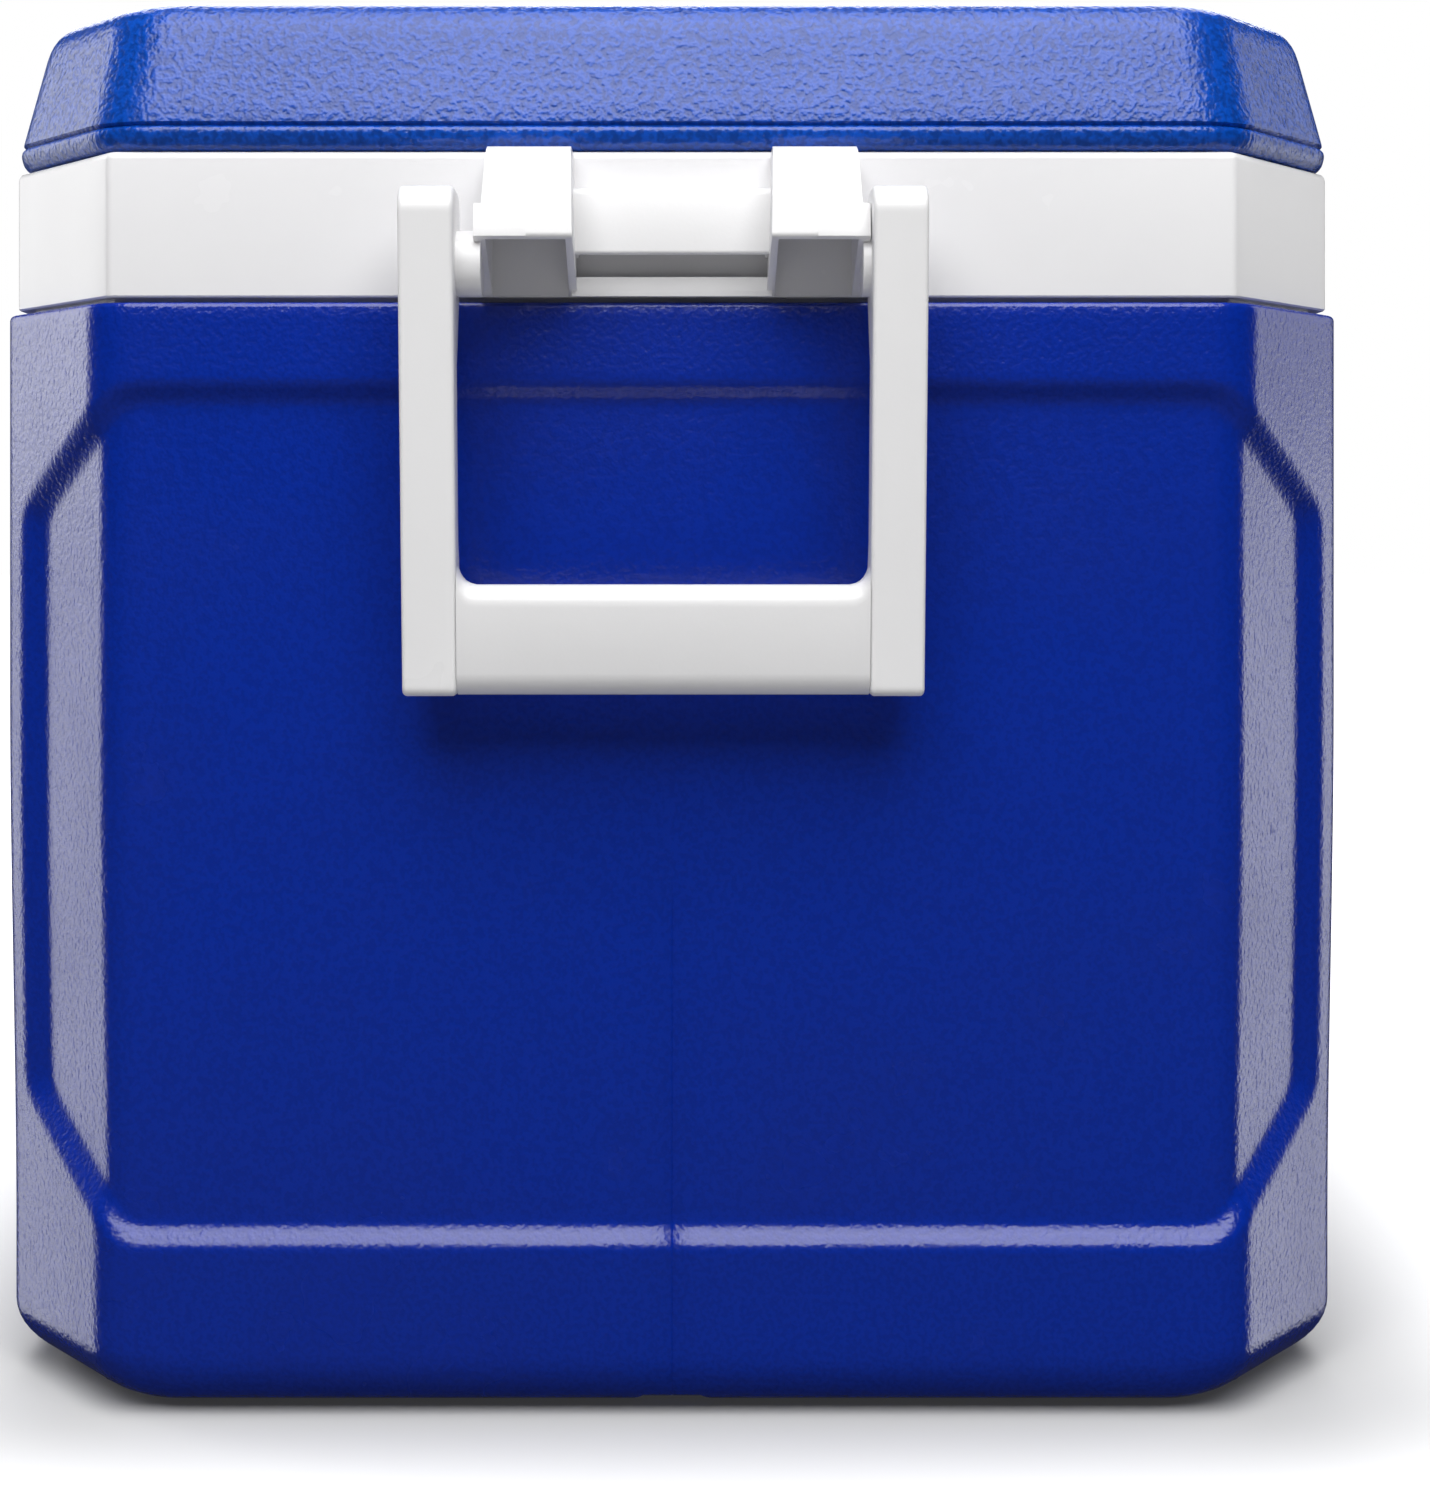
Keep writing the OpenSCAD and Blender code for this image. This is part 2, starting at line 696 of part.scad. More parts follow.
drain_tube_r = 11;
drain_boss_r = 20;                   // the round seat for the nut, moulded into the liner
drain_boss_x = 261;                  // outer face of that seat
seat_reach = 14;                     // how far the seat's hollow cuts into the tub's floor corner
drain_flange_r = 17;
drain_bore_r = 8.5;
drain_neck_r = 7.2;
drain_seat_x = 254.5;                // inner face of the liner's flat seat for the nut
drain_face_x = half_l - panel_depth; // outer face of the shell in the drain's pocket
washer_t = 1.5;
flange_t = 3;
nut_t = 5.5;
spout_proud = 0.8;                   // how far the spout stands out of its nut
neck_x = 284;                        // outer face of the neck that keeps the plug in
neck_t = 3;
knob_r = 13;
seal_r = 1.25;
seal_groove_r = 5.95;
seal_x = 296;
barb_x = neck_x - neck_t - drain_travel - 0.3;
flange_x = drain_face_x + washer_t;
knob_x = flange_x + flange_t + 0.3;

module drain_spout() {
    color(WHITE) mirror([1, 0, 0]) difference() {
        union() {
            rod_x(drain_tube_r, drain_seat_x - nut_t - spout_proud, flange_x + touch, 0, drain_z);
            rod_x(drain_flange_r, flange_x, flange_x + flange_t, 0, drain_z);
        }
        rod_x(drain_bore_r, neck_x, flange_x + flange_t + over, 0, drain_z);
        rod_x(drain_neck_r, neck_x - neck_t - over, neck_x + over, 0, drain_z);
        rod_x(drain_bore_r, drain_seat_x - nut_t - spout_proud - over, neck_x - neck_t, 0, drain_z);
    }
}

module drain_washer() {
    color(RUBBER) mirror([1, 0, 0]) difference() {
        rod_x(drain_flange_r, drain_face_x, flange_x, 0, drain_z);
        rod_x(drain_tube_r + touch, drain_face_x - over, flange_x + over, 0, drain_z);
    }
}

module drain_nut() {
    lugs = 6;
    color(WHITE) mirror([1, 0, 0]) difference() {
        union() {
            rod_x(14.5, drain_seat_x - nut_t, drain_seat_x, 0, drain_z);
            for (i = [0:lugs - 1])
                translate([0, 0, drain_z]) rotate([i * 360 / lugs + 30, 0, 0])
                    translate([drain_seat_x - nut_t, -2, 10]) cube([nut_t, 4, 6.2]);
        }
        rod_x(drain_tube_r, drain_seat_x - nut_t - over, drain_seat_x + over, 0, drain_z);
    }
}

module drain_plug() {
    leg_t = 4;
    barb_r = 8.1;
    ribs = 12;
    color(WHITE) mirror([1, 0, 0]) {
        difference() {
            union() {
                rod_x(8.2, neck_x + 6, knob_x + touch, 0, drain_z);
                rod_x(knob_r, knob_x, knob_x + 8, 0, drain_z);
                for (i = [0:ribs - 1])
                    translate([knob_x + 1, 0, drain_z]) rotate([i * 360 / ribs, 0, 0])
                        translate([0, knob_r - 0.6, 0]) rod_x(1.2, 0, 6, 0, 0);
            }
            difference() {
                rod_x(10, seal_x - 1.3, seal_x + 1.3, 0, drain_z);
                rod_x(seal_groove_r, seal_x - 2, seal_x + 2, 0, drain_z);
            }
        }
        intersection() {
            union() {
                rod_x(6.8, barb_x - 4, neck_x + 6 + touch, 0, drain_z);
                rod_x(barb_r, barb_x - 3.5, barb_x, 0, drain_z);
            }
            union() {
                translate([barb_x - 4, -leg_t / 2, drain_z - 10]) cube([60, leg_t, 20]);
                translate([barb_x - 4, -10, drain_z - leg_t / 2]) cube([60, 20, leg_t]);
            }
        }
    }
}

module plug_seal() {
    color(RUBBER) translate([-seal_x, 0, drain_z]) rotate([0, 90, 0])
        rotate_extrude() translate([seal_groove_r + seal_r, 0]) circle(r = seal_r, $fn = 24);
}

outer_shell();
body_insulation();
inner_liner();
rim_collar();
handle_mount_right();
handle_mount_left();
handle_screws_right();
handle_screws_left();
bail_right();
grip_right();
bail_left();
grip_left();
hinge_base_right();
hinge_base_left();
hinge_pin_right();
hinge_pin_left();
hinge_screws_base();
hinge_leaf_right();
hinge_leaf_left();
hinge_screws_lid();
lid_shell();
lid_insulation();
lid_liner();
drain_spout();
drain_washer();
drain_nut();
drain_plug();
plug_seal();
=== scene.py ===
"""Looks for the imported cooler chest: moulded plastic shells, collar, handles, tub, hinges and drain.

Sizes in the code are in millimetres and meshes are made in metres. Pieces are lofted, turned or extruded,
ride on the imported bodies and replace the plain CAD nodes. Foam, screws and hinge pins keep their CAD mesh.
"""

import math

import bmesh
import bpy
from mathutils import Matrix, Vector


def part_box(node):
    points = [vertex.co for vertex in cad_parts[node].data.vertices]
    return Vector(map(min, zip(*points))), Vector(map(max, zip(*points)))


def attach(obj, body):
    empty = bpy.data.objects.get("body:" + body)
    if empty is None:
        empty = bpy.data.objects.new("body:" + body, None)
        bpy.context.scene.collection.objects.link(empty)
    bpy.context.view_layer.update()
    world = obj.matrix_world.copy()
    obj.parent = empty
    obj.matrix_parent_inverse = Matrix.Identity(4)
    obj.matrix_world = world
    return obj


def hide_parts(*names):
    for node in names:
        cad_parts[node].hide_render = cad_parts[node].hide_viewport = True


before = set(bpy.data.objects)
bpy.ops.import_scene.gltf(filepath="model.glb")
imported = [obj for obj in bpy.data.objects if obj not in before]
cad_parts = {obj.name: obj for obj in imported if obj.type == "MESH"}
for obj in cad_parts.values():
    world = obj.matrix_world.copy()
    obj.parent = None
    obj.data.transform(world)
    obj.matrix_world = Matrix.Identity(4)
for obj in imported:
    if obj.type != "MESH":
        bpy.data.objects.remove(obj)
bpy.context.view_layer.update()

MM = 0.001


def size_of(node):
    """The lowest and highest corners of a node, in millimetres."""
    return [[v / MM for v in corner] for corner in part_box(node)]


# ---- driving sizes, in millimetres ----

_, shell_high = size_of("outer_shell")
_, collar_high = size_of("rim_collar")
lid_low, lid_high = size_of("lid_shell")

HALF_L = shell_high[0]
HALF_W = shell_high[1]
BODY_TOP = shell_high[2]
CHAMFER_L = 50.0  # what a corner's chamfer takes off the length
CHAMFER_W = 37.0  # what it takes off the width
CORNER_R = 12.0
SHELL_R = 15.0  # the shell's upright corners, softer than the parts inside it
BASE_R = 15.0  # the fillet round the shell's underside
WALL = 2.5
FOOT_H = 1.8
COLLAR_IN = HALF_L - collar_high[0]
COLLAR_GAP = 1.4
COLLAR_Z = BODY_TOP + COLLAR_GAP
RIM_Z = collar_high[2]
FACE_X = HALF_L - COLLAR_IN
LID_IN = HALF_L - lid_high[0]
LID_SLACK = lid_high[1] - (HALF_W - LID_IN)
LID_Z = lid_low[2]
LID_H = lid_high[2] - LID_Z


# ---- mesh helpers ----

def new_object(name, verts, faces, material):
    """A mesh object from points in millimetres, with its faces turned outwards."""
    mesh = bpy.data.meshes.new(name)
    mesh.from_pydata([[c * MM for c in v] for v in verts], [], faces)
    obj = bpy.data.objects.new(name, mesh)
    bpy.context.scene.collection.objects.link(obj)
    mesh.materials.append(material)
    tidy_mesh(mesh)
    return obj


def tidy_mesh(mesh, merge=0.01, smooth_deg=40.0):
    """Merges doubled points, turns faces outwards and shades smooth up to an angle."""
    work = bmesh.new()
    work.from_mesh(mesh)
    bmesh.ops.remove_doubles(work, verts=work.verts, dist=merge * MM)
    bmesh.ops.dissolve_degenerate(work, edges=work.edges, dist=0.001 * MM)
    bmesh.ops.recalc_face_normals(work, faces=work.faces)
    if work.calc_volume(signed=True) < 0:
        bmesh.ops.reverse_faces(work, faces=work.faces)
    work.to_mesh(mesh)
    work.free()
    mesh.polygons.foreach_set("use_smooth", [True] * len(mesh.polygons))
    mesh.set_sharp_from_angle(angle=math.radians(smooth_deg))


def apply_modifiers(obj):
    """Bakes an object's modifiers into its mesh."""
    graph = bpy.context.evaluated_depsgraph_get()
    mesh = bpy.data.meshes.new_from_object(obj.evaluated_get(graph))
    old = obj.data
    obj.modifiers.clear()
    obj.data = mesh
    bpy.data.meshes.remove(old)


def combine(obj, operation, *others):
    """Unites an object with others, cuts them out of it or keeps what they share, and removes them."""
    for other in others:
        step = obj.modifiers.new("step", "BOOLEAN")
        step.operation = operation
        step.object = other
        step.solver = "EXACT"
        apply_modifiers(obj)
        mesh = other.data
        bpy.data.objects.remove(other)
        bpy.data.meshes.remove(mesh)
    tidy_mesh(obj.data)
    return obj


def move_points(obj, shift):
    """Moves each point to where shift sends it, in millimetres."""
    for vertex in obj.data.vertices:
        vertex.co = Vector(shift(*(vertex.co / MM))) * MM
    return obj


def mirrored(obj, axis):
    """A mirror image of an object as a second object."""
    twin = obj.copy()
    twin.data = obj.data.copy()
    bpy.context.scene.collection.objects.link(twin)
    for vertex in twin.data.vertices:
        vertex.co[axis] = -vertex.co[axis]
    tidy_mesh(twin.data)
    return twin


def round_edges(obj, width, segments=3, angle_deg=28.0):
    """Rounds an object's edges that are sharper than an angle."""
    work = bmesh.new()
    work.from_mesh(obj.data)
    bmesh.ops.remove_doubles(work, verts=work.verts, dist=0.02 * MM)
    bmesh.ops.dissolve_limit(work, angle_limit=math.radians(0.5), verts=work.verts, edges=work.edges)
    work.to_mesh(obj.data)
    work.free()
    bevel = obj.modifiers.new("round", "BEVEL")
    bevel.width = width * MM
    bevel.segments = segments
    bevel.limit_method = "ANGLE"
    bevel.angle_limit = math.radians(angle_deg)
    apply_modifiers(obj)
    tidy_mesh(obj.data)
    return obj


def loft(name, rings, material, caps=False, wrap=False):
    """A skin through rings of as many points each. caps closes both ends, and wrap joins last to first."""
    count = len(rings[0])
    verts = [p for ring in rings for p in ring]
    faces = []
    for k in range(len(rings) if wrap else len(rings) - 1):
        a = k * count
        b = (k + 1) % len(rings) * count
        faces += [(a + i, b + i, b + (i + 1) % count, a + (i + 1) % count) for i in range(count)]
    if caps:
        faces.append(tuple(range(count)))
        faces.append(tuple(range(len(verts) - count, len(verts))))
    return new_object(name, verts, faces, material)


def prism(name, outline, low, high, axis, material):
    """A solid between two places on an axis, from an outline in the other two in X, Y, Z order."""
    place = {
        "X": lambda a, b, h: (h, a, b),
        "Y": lambda a, b, h: (a, h, b),
        "Z": lambda a, b, h: (a, b, h),
    }[axis]
    return loft(name, [[place(a, b, h) for a, b in outline] for h in (low, high)], material, caps=True)


def lathe(name, profile, centre, material, wrap=False, bulge=None, steps=96):
    """Turns a profile of (place along X, radius) points about a line along X through centre (Y, Z)."""
    rings = []
    for x, radius in profile:
        ring = []
        for i in range(steps):
            angle = 2 * math.pi * i / steps
            r = radius + bulge(angle, x, radius) if bulge else radius
            ring.append((x, centre[0] + r * math.cos(angle), centre[1] + r * math.sin(angle)))
        rings.append(ring)
    return loft(name, rings, material, wrap=wrap)


def rod(name, axis, radius, low, high, centre, material, steps=64):
    """A plain round bar between two places on an axis, for boolean work."""
    angles = [2 * math.pi * i / steps for i in range(steps)]
    outline = [(centre[0] + radius * math.cos(a), centre[1] + radius * math.sin(a)) for a in angles]
    return prism(name, outline, low, high, axis, material)


def smoothstep(low, high, x):
    """From 0 at low to 1 at high, level at both ends."""
    t = max(0.0, min(1.0, (x - low) / (high - low)))
    return t * t * (3 - 2 * t)


def soft_min(values, blend):
    """A minimum whose corners are rounded."""
    low = min(values)
    return low - blend * math.log(sum(math.exp((low - v) / blend) for v in values))


# ---- outlines, in millimetres ----

def corner_arc(a, b, c, radius, steps):
    """(point, outward normal) pairs on the arc that rounds corner b between a and c."""
    a, b, c = Vector(a), Vector(b), Vector(c)
    u, v = (a - b).normalized(), (c - b).normalized()
    half = u.angle(v) / 2
    centre = b + (u + v).normalized() * radius / math.sin(half)
    start = b + u * radius / math.tan(half) - centre
    side = math.copysign(1, (b - a).cross(c - b))
    first = math.atan2(start.y, start.x)
    out = []
    for i in range(steps + 1):
        angle = first + side * (math.pi - 2 * half) * i / steps
        normal = Vector((math.cos(angle), math.sin(angle)))
        out.append((centre + normal * radius, normal * side))
    return out


def rounded(points, radius, steps=5):
    """A closed outline with every corner rounded; radius may be one number or one for each corner."""
    n = len(points)
    radii = radius if isinstance(radius, list) else [radius] * n
    out = []
    for i in range(n):
        if radii[i]:
            arc = corner_arc(points[i - 1], points[i], points[(i + 1) % n], radii[i], steps)
            out += [tuple(p) for p, _ in arc]
        else:
            out.append(points[i])
    return out


def rectangle(l, w):
    """The corners of a rectangle of half length l and half width w."""
    return [(l, -w), (l, w), (-l, w), (-l, -w)]


def body_corners(inset):
    """The corners of the body's eight-sided plan, moved inwards by a distance."""
    slope = math.hypot(CHAMFER_L, CHAMFER_W)
    nx, ny = CHAMFER_W / slope, CHAMFER_L / slope
    cl = CHAMFER_L - inset * (1 - (1 - ny) / nx)
    cw = CHAMFER_W - inset * (1 - (1 - nx) / ny)
    l, w = HALF_L - inset, HALF_W - inset
    return [
        (l, cw - w), (l, w - cw), (l - cl, w), (cl - l, w),
        (-l, w - cw), (-l, cw - w), (cl - l, -w), (l - cl, -w),
    ]


class Outline:
    """The body's plan outline, divided the same way at every inset so that rings can be joined."""

    def __init__(self, step, arc_steps, seam=False):
        self.arc_steps = arc_steps
        self.splits = []
        arcs = self.arcs(0.0, CORNER_R)
        for i in range(8):
            start, end = arcs[i][-1][0], arcs[(i + 1) % 8][0][0]
            marks = self.divide(start, end, step)
            if seam and i in (0, 4):
                marks = self.with_seam(marks, (end - start).length)
            self.splits.append(marks)

    def arcs(self, inset, radius):
        c = body_corners(inset)
        return [corner_arc(c[i - 1], c[i], c[(i + 1) % 8], radius, self.arc_steps) for i in range(8)]

    @staticmethod
    def divide(start, end, step):
        """Parts of the way from start to the middle at which to divide, and their mirror images."""
        length = (end - start).length
        at, marks = 0.0, []
        while at < length / 2:
            at += step(*start.lerp(end, at / length))
            marks.append(at)
        half = [m / marks[-1] / 2 for m in marks]
        return half + [1 - m for m in reversed(half[:-1])]

    @staticmethod
    def with_seam(marks, length):
        near = SEAM_HALF / length
        kept = [m for m in marks if abs(m - 0.5) > near * 1.5]
        return sorted(kept + [0.5 - near, 0.5, 0.5 + near])

    def ring(self, inset, radius=CORNER_R):
        """(point, outward normal) pairs round the outline."""
        arcs = self.arcs(inset, radius)
        out = []
        for i in range(8):
            start, end = arcs[i][-1][0], arcs[(i + 1) % 8][0][0]
            side = (end - start).normalized()
            out += arcs[i]
            out += [(start.lerp(end, t), Vector((side.y, -side.x))) for t in self.splits[i]]
        return out

    def points(self, z, inset, radius=CORNER_R):
        return [(p.x, p.y, z) for p, _ in self.ring(inset, radius)]

    def onto_rectangle(self, z, half_x, half_y, radius, source_inset=0.0):
        """The outline's points moved to the nearest place on a rounded rectangle inside it."""
        out = []
        for p, _ in self.ring(source_inset):
            corner = Vector((
                max(radius - half_x, min(half_x - radius, p.x)),
                max(radius - half_y, min(half_y - radius, p.y)),
            ))
            q = corner + (p - corner).normalized() * radius
            out.append((q.x, q.y, z))
        return out


def to_spine(ring, spine_half, steps=1):
    """Rings that run level from a ring to a line along X through the middle, for a closed end."""
    out = []
    for k in range(1, steps + 1):
        t = k / steps
        out.append([
            (x + (max(-spine_half, min(spine_half, x)) - x) * t, y * (1 - t), z) for x, y, z in ring
        ])
    return out


# ---- materials ----

def noise(tree, coords, scale, detail=3.0, rough=0.55):
    """A noise value; the scale is in cells to a metre."""
    n = tree.nodes.new("ShaderNodeTexNoise")
    n.inputs["Scale"].default_value = scale
    n.inputs["Detail"].default_value = detail
    n.inputs["Roughness"].default_value = rough
    tree.links.new(coords, n.inputs["Vector"])
    return n.outputs["Fac"]


def spread(tree, value, low, high, to_low, to_high):
    """A value eased from one range into another."""
    n = tree.nodes.new("ShaderNodeMapRange")
    n.interpolation_type = "SMOOTHSTEP"
    for name, number in (("From Min", low), ("From Max", high), ("To Min", to_low), ("To Max", to_high)):
        n.inputs[name].default_value = number
    tree.links.new(value, n.inputs["Value"])
    return n.outputs["Result"]


def blend_colours(tree, factor, a, b):
    """A colour between a and b."""
    n = tree.nodes.new("ShaderNodeMix")
    n.data_type = "RGBA"
    n.inputs["A"].default_value = (*a, 1)
    n.inputs["B"].default_value = (*b, 1)
    tree.links.new(factor, n.inputs["Factor"])
    return n.outputs["Result"]


def add(tree, a, b):
    """The sum of two values."""
    n = tree.nodes.new("ShaderNodeMath")
    n.operation = "ADD"
    tree.links.new(a, n.inputs[0])
    tree.links.new(b, n.inputs[1])
    return n.outputs[0]


def bumps(tree, shader, *layers):
    """Stacks bump layers of (height, strength, distance in millimetres) on a shader."""
    normal = None
    for height, strength, distance in layers:
        n = tree.nodes.new("ShaderNodeBump")
        n.inputs["Strength"].default_value = strength
        n.inputs["Distance"].default_value = distance * MM
        tree.links.new(height, n.inputs["Height"])
        if normal:
            tree.links.new(normal, n.inputs["Normal"])
        normal = n.outputs["Normal"]
    tree.links.new(normal, shader.inputs["Normal"])


def new_material(name):
    """A material with its node tree, its shader and its object coordinates."""
    material = bpy.data.materials.new(name)
    material.use_nodes = True
    tree = material.node_tree
    coords = tree.nodes.new("ShaderNodeTexCoord").outputs["Object"]
    return material, tree, tree.nodes["Principled BSDF"], coords


GRAIN_CELLS = 900.0  # noise cells to a metre that make a grain of 1 mm
CLOUD_CELLS, FLOW_CELLS, SCUFF_CELLS = 9.0, 22.0, 45.0
GLOSS_SPREAD = 0.03


def plastic(name, colour, cloud_colour, roughness, grain_mm, grain_depth, wear=0.12, spec=0.5, pit_shade=0.0):
    """Moulded plastic: a pebble grain or fine orange peel whose hollows are darkened with painted shade,
    slow flow waviness, cloudy colour and gloss, and rare dull scuffs."""
    material, tree, shader, coords = new_material(name)
    cloud = noise(tree, coords, CLOUD_CELLS, 4.0)
    grain = noise(tree, coords, GRAIN_CELLS / grain_mm, 1.0, 0.5)
    flow = noise(tree, coords, FLOW_CELLS, 2.0)
    scuff = noise(tree, coords, SCUFF_CELLS, 3.0, 0.6)
    tint = spread(tree, cloud, 0.35, 0.65, 0.0, 1.0)
    cloudy = blend_colours(tree, tint, colour, cloud_colour)
    # the grain's hollows are darkened towards black: painted shade in the grain
    pit_shaded = tree.nodes.new("ShaderNodeMix")
    pit_shaded.data_type = "RGBA"
    tree.links.new(spread(tree, grain, 0.36, 0.62, pit_shade, 0.0), pit_shaded.inputs["Factor"])
    tree.links.new(cloudy, pit_shaded.inputs["A"])
    pit_shaded.inputs["B"].default_value = (0, 0, 0, 1)
    tree.links.new(pit_shaded.outputs["Result"], shader.inputs["Base Color"])
    gloss = spread(tree, cloud, 0.3, 0.7, roughness - GLOSS_SPREAD, roughness + GLOSS_SPREAD)
    tree.links.new(add(tree, gloss, spread(tree, scuff, 0.62, 0.8, 0.0, wear)), shader.inputs["Roughness"])
    shader.inputs["Specular IOR Level"].default_value = spec
    bumps(tree, shader, (flow, 0.2, 0.5), (grain, 1.0, grain_depth))
    return material


def foam_material():
    """Poured foam: pale yellow, with fine cells and slow swells."""
    material, tree, shader, coords = new_material("foam")
    cells = tree.nodes.new("ShaderNodeTexVoronoi")
    cells.inputs["Scale"].default_value = 600.0
    tree.links.new(coords, cells.inputs["Vector"])
    slow = noise(tree, coords, 30.0)
    tint = spread(tree, slow, 0.35, 0.65, 0.0, 1.0)
    colour = blend_colours(tree, tint, (0.80, 0.70, 0.44), (0.72, 0.61, 0.35))
    tree.links.new(colour, shader.inputs["Base Color"])
    tree.links.new(spread(tree, slow, 0.3, 0.7, 0.85, 0.95), shader.inputs["Roughness"])
    bumps(tree, shader, (slow, 0.5, 1.5), (cells.outputs["Distance"], 0.8, 0.4))
    return material


def steel_material():
    """Stainless steel with fine turning marks and a few stains."""
    material, tree, shader, coords = new_material("screw_steel")
    marks = noise(tree, coords, 2600.0, 1.0)
    stains = noise(tree, coords, 180.0, 4.0)
    tint = spread(tree, stains, 0.4, 0.7, 0.0, 1.0)
    colour = blend_colours(tree, tint, (0.62, 0.61, 0.60), (0.44, 0.43, 0.42))
    tree.links.new(colour, shader.inputs["Base Color"])
    tree.links.new(spread(tree, stains, 0.3, 0.7, 0.24, 0.42), shader.inputs["Roughness"])
    shader.inputs["Metallic"].default_value = 1.0
    bumps(tree, shader, (marks, 0.5, 0.03))
    return material


def rubber_material():
    """Black rubber with a dull bloom and a fine moulded grain."""
    material, tree, shader, coords = new_material("rubber_black")
    bloom = noise(tree, coords, 60.0, 5.0)
    grain = noise(tree, coords, 1500.0, 2.0)
    tint = spread(tree, bloom, 0.45, 0.75, 0.0, 1.0)
    colour = blend_colours(tree, tint, (0.016, 0.016, 0.018), (0.05, 0.05, 0.052))
    tree.links.new(colour, shader.inputs["Base Color"])
    tree.links.new(spread(tree, bloom, 0.3, 0.7, 0.5, 0.7), shader.inputs["Roughness"])
    bumps(tree, shader, (grain, 0.6, 0.05))
    return material


SHELL_BLUE = (0.0002, 0.0225, 0.325)
SHELL_CLOUD = (0.0002, 0.0205, 0.305)
LID_BLUE = (0.0004, 0.0700, 0.470)
LID_CLOUD = (0.0003, 0.0640, 0.440)
WHITE = (0.80, 0.795, 0.805)
WHITE_CLOUD = (0.778, 0.772, 0.785)
HANDLE_WHITE = (0.85, 0.845, 0.85)
HANDLE_CLOUD = (0.825, 0.82, 0.825)

# the last argument of each plastic darkens the grain's hollows: painted shade
blue_shell = plastic("blue_shell", SHELL_BLUE, SHELL_CLOUD, 0.25, 1.4, 0.19, wear=0.05, spec=0.55, pit_shade=0.14)
blue_lid = plastic("blue_lid", LID_BLUE, LID_CLOUD, 0.27, 1.5, 0.34, wear=0.05, spec=0.5, pit_shade=0.38)
white_collar = plastic("white_collar", WHITE, WHITE_CLOUD, 0.2, 3.0, 0.008, wear=0.15, spec=0.25)
white_handle = plastic("white_handle", HANDLE_WHITE, HANDLE_CLOUD, 0.30, 0.9, 0.015)
white_hinge = plastic("white_hinge", WHITE_CLOUD, WHITE, 0.34, 0.9, 0.02)
white_liner = plastic("white_liner", WHITE_CLOUD, WHITE, 0.32, 1.6, 0.02)
foam = foam_material()
screw_steel = steel_material()
rubber_black = rubber_material()


def hand_over(obj, node, body):
    """Names a finished piece after the CAD node it stands for, with the body it rides on."""
    obj.name = node + "_finished"
    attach(obj, body)
    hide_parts(node)


# ---- body shell ----

PANEL_MID = 166.1
PANEL_HALF_H = 116.3
PANEL_CUT = 33.0
PANEL_DEPTH = 4.0
END_PANEL_HALF = HALF_W - 8.5
SIDE_PANEL_HALF = HALF_L - 64.0
STEP_HALF = 3.4
DRAIN_Z = 56.0
DRAIN_HOLE_R = 11.2
POCKET_R = 22.0
SHELL_LIP = 5.4
GROOVE_HALF = 16.0
GROOVE_H = 2.7
SEAM_HALF = 0.5
SEAM_DEPTH = 0.35
SEAM_TOP = 154.0
PAD_X, PAD_Y = 235.0, 136.0


def inside_panel(a, z, half):
    """How far a point lies inside a panel's outline with its cut corners."""
    across = half - abs(a)
    up = PANEL_HALF_H - abs(z - PANEL_MID)
    return soft_min([across, up, (across + up - PANEL_CUT) / math.sqrt(2)], 1.6)


def recess(x, y, z):
    """How far the body's face is moulded inwards at a point."""
    depth = smoothstep(-STEP_HALF, STEP_HALF, inside_panel(y, z, END_PANEL_HALF))
    if abs(y) > HALF_W - 1:
        depth = smoothstep(-STEP_HALF, STEP_HALF, inside_panel(x, z, SIDE_PANEL_HALF))
    if x < CORNER_R - HALF_L:
        depth = max(depth, smoothstep(-1.5, 1.5, POCKET_R - math.hypot(y, z - DRAIN_Z)))
    seam = SEAM_DEPTH if abs(y) < SEAM_HALF / 2 and z < SEAM_TOP else 0.0
    return PANEL_DEPTH * depth + seam


def body_step(x, y):
    """Spacing of points round the body: close where a panel's edge or the drain's pocket passes."""
    if abs(x) > HALF_L - 1:
        return 1.7 if abs(y) > END_PANEL_HALF - 46 or (x < 0 and abs(y) < POCKET_R + 4) else 9.0
    if abs(y) > HALF_W - 1:
        return 1.9 if SIDE_PANEL_HALF - 40 < abs(x) < SIDE_PANEL_HALF + 8 else 14.0
    return 2.0


def graded(low, high, step, close, close_step):
    """Heights from low to high, close together inside the given bands."""
    out, z = [], low
    while z < high:
        out.append(z)
        z += close_step if any(a <= z < b for a, b in close) else step
    return out


LIFT, LIFT_H = 3.6, 45.0  # how far the base's corners are drawn up, and the height at which that ends
SWELL, SWELL_FROM, SWELL_TO = 1.9, 40.0, 190.0


def corner_lift(x, y, z):
    """How far the shell's underside is drawn up at its four corners."""
    near = (abs(x) - HALF_L) / CHAMFER_L + (abs(y) - HALF_W) / CHAMFER_W + 2
    return LIFT * smoothstep(0.3, 1.0, near) * max(0.0, 1 - (z - FOOT_H) / LIFT_H)


def swell(z):
    """How far the long sides stand out above the base, from the blow moulding's draft."""
    return SWELL * smoothstep(SWELL_FROM, SWELL_TO, z)


def shell_ring(outline, z, inset, wall=0.0, radius=SHELL_R):
    """A ring of the shell, with its panels, seam, drain pocket, swell and corner lift."""
    ring = []
    for p, n in outline.ring(inset, radius):
        deep = wall + recess(p.x, p.y, z)
        ring.append((p.x - n.x * deep, p.y - n.y * (deep - swell(z)), z + corner_lift(p.x, p.y, z)))
    return ring


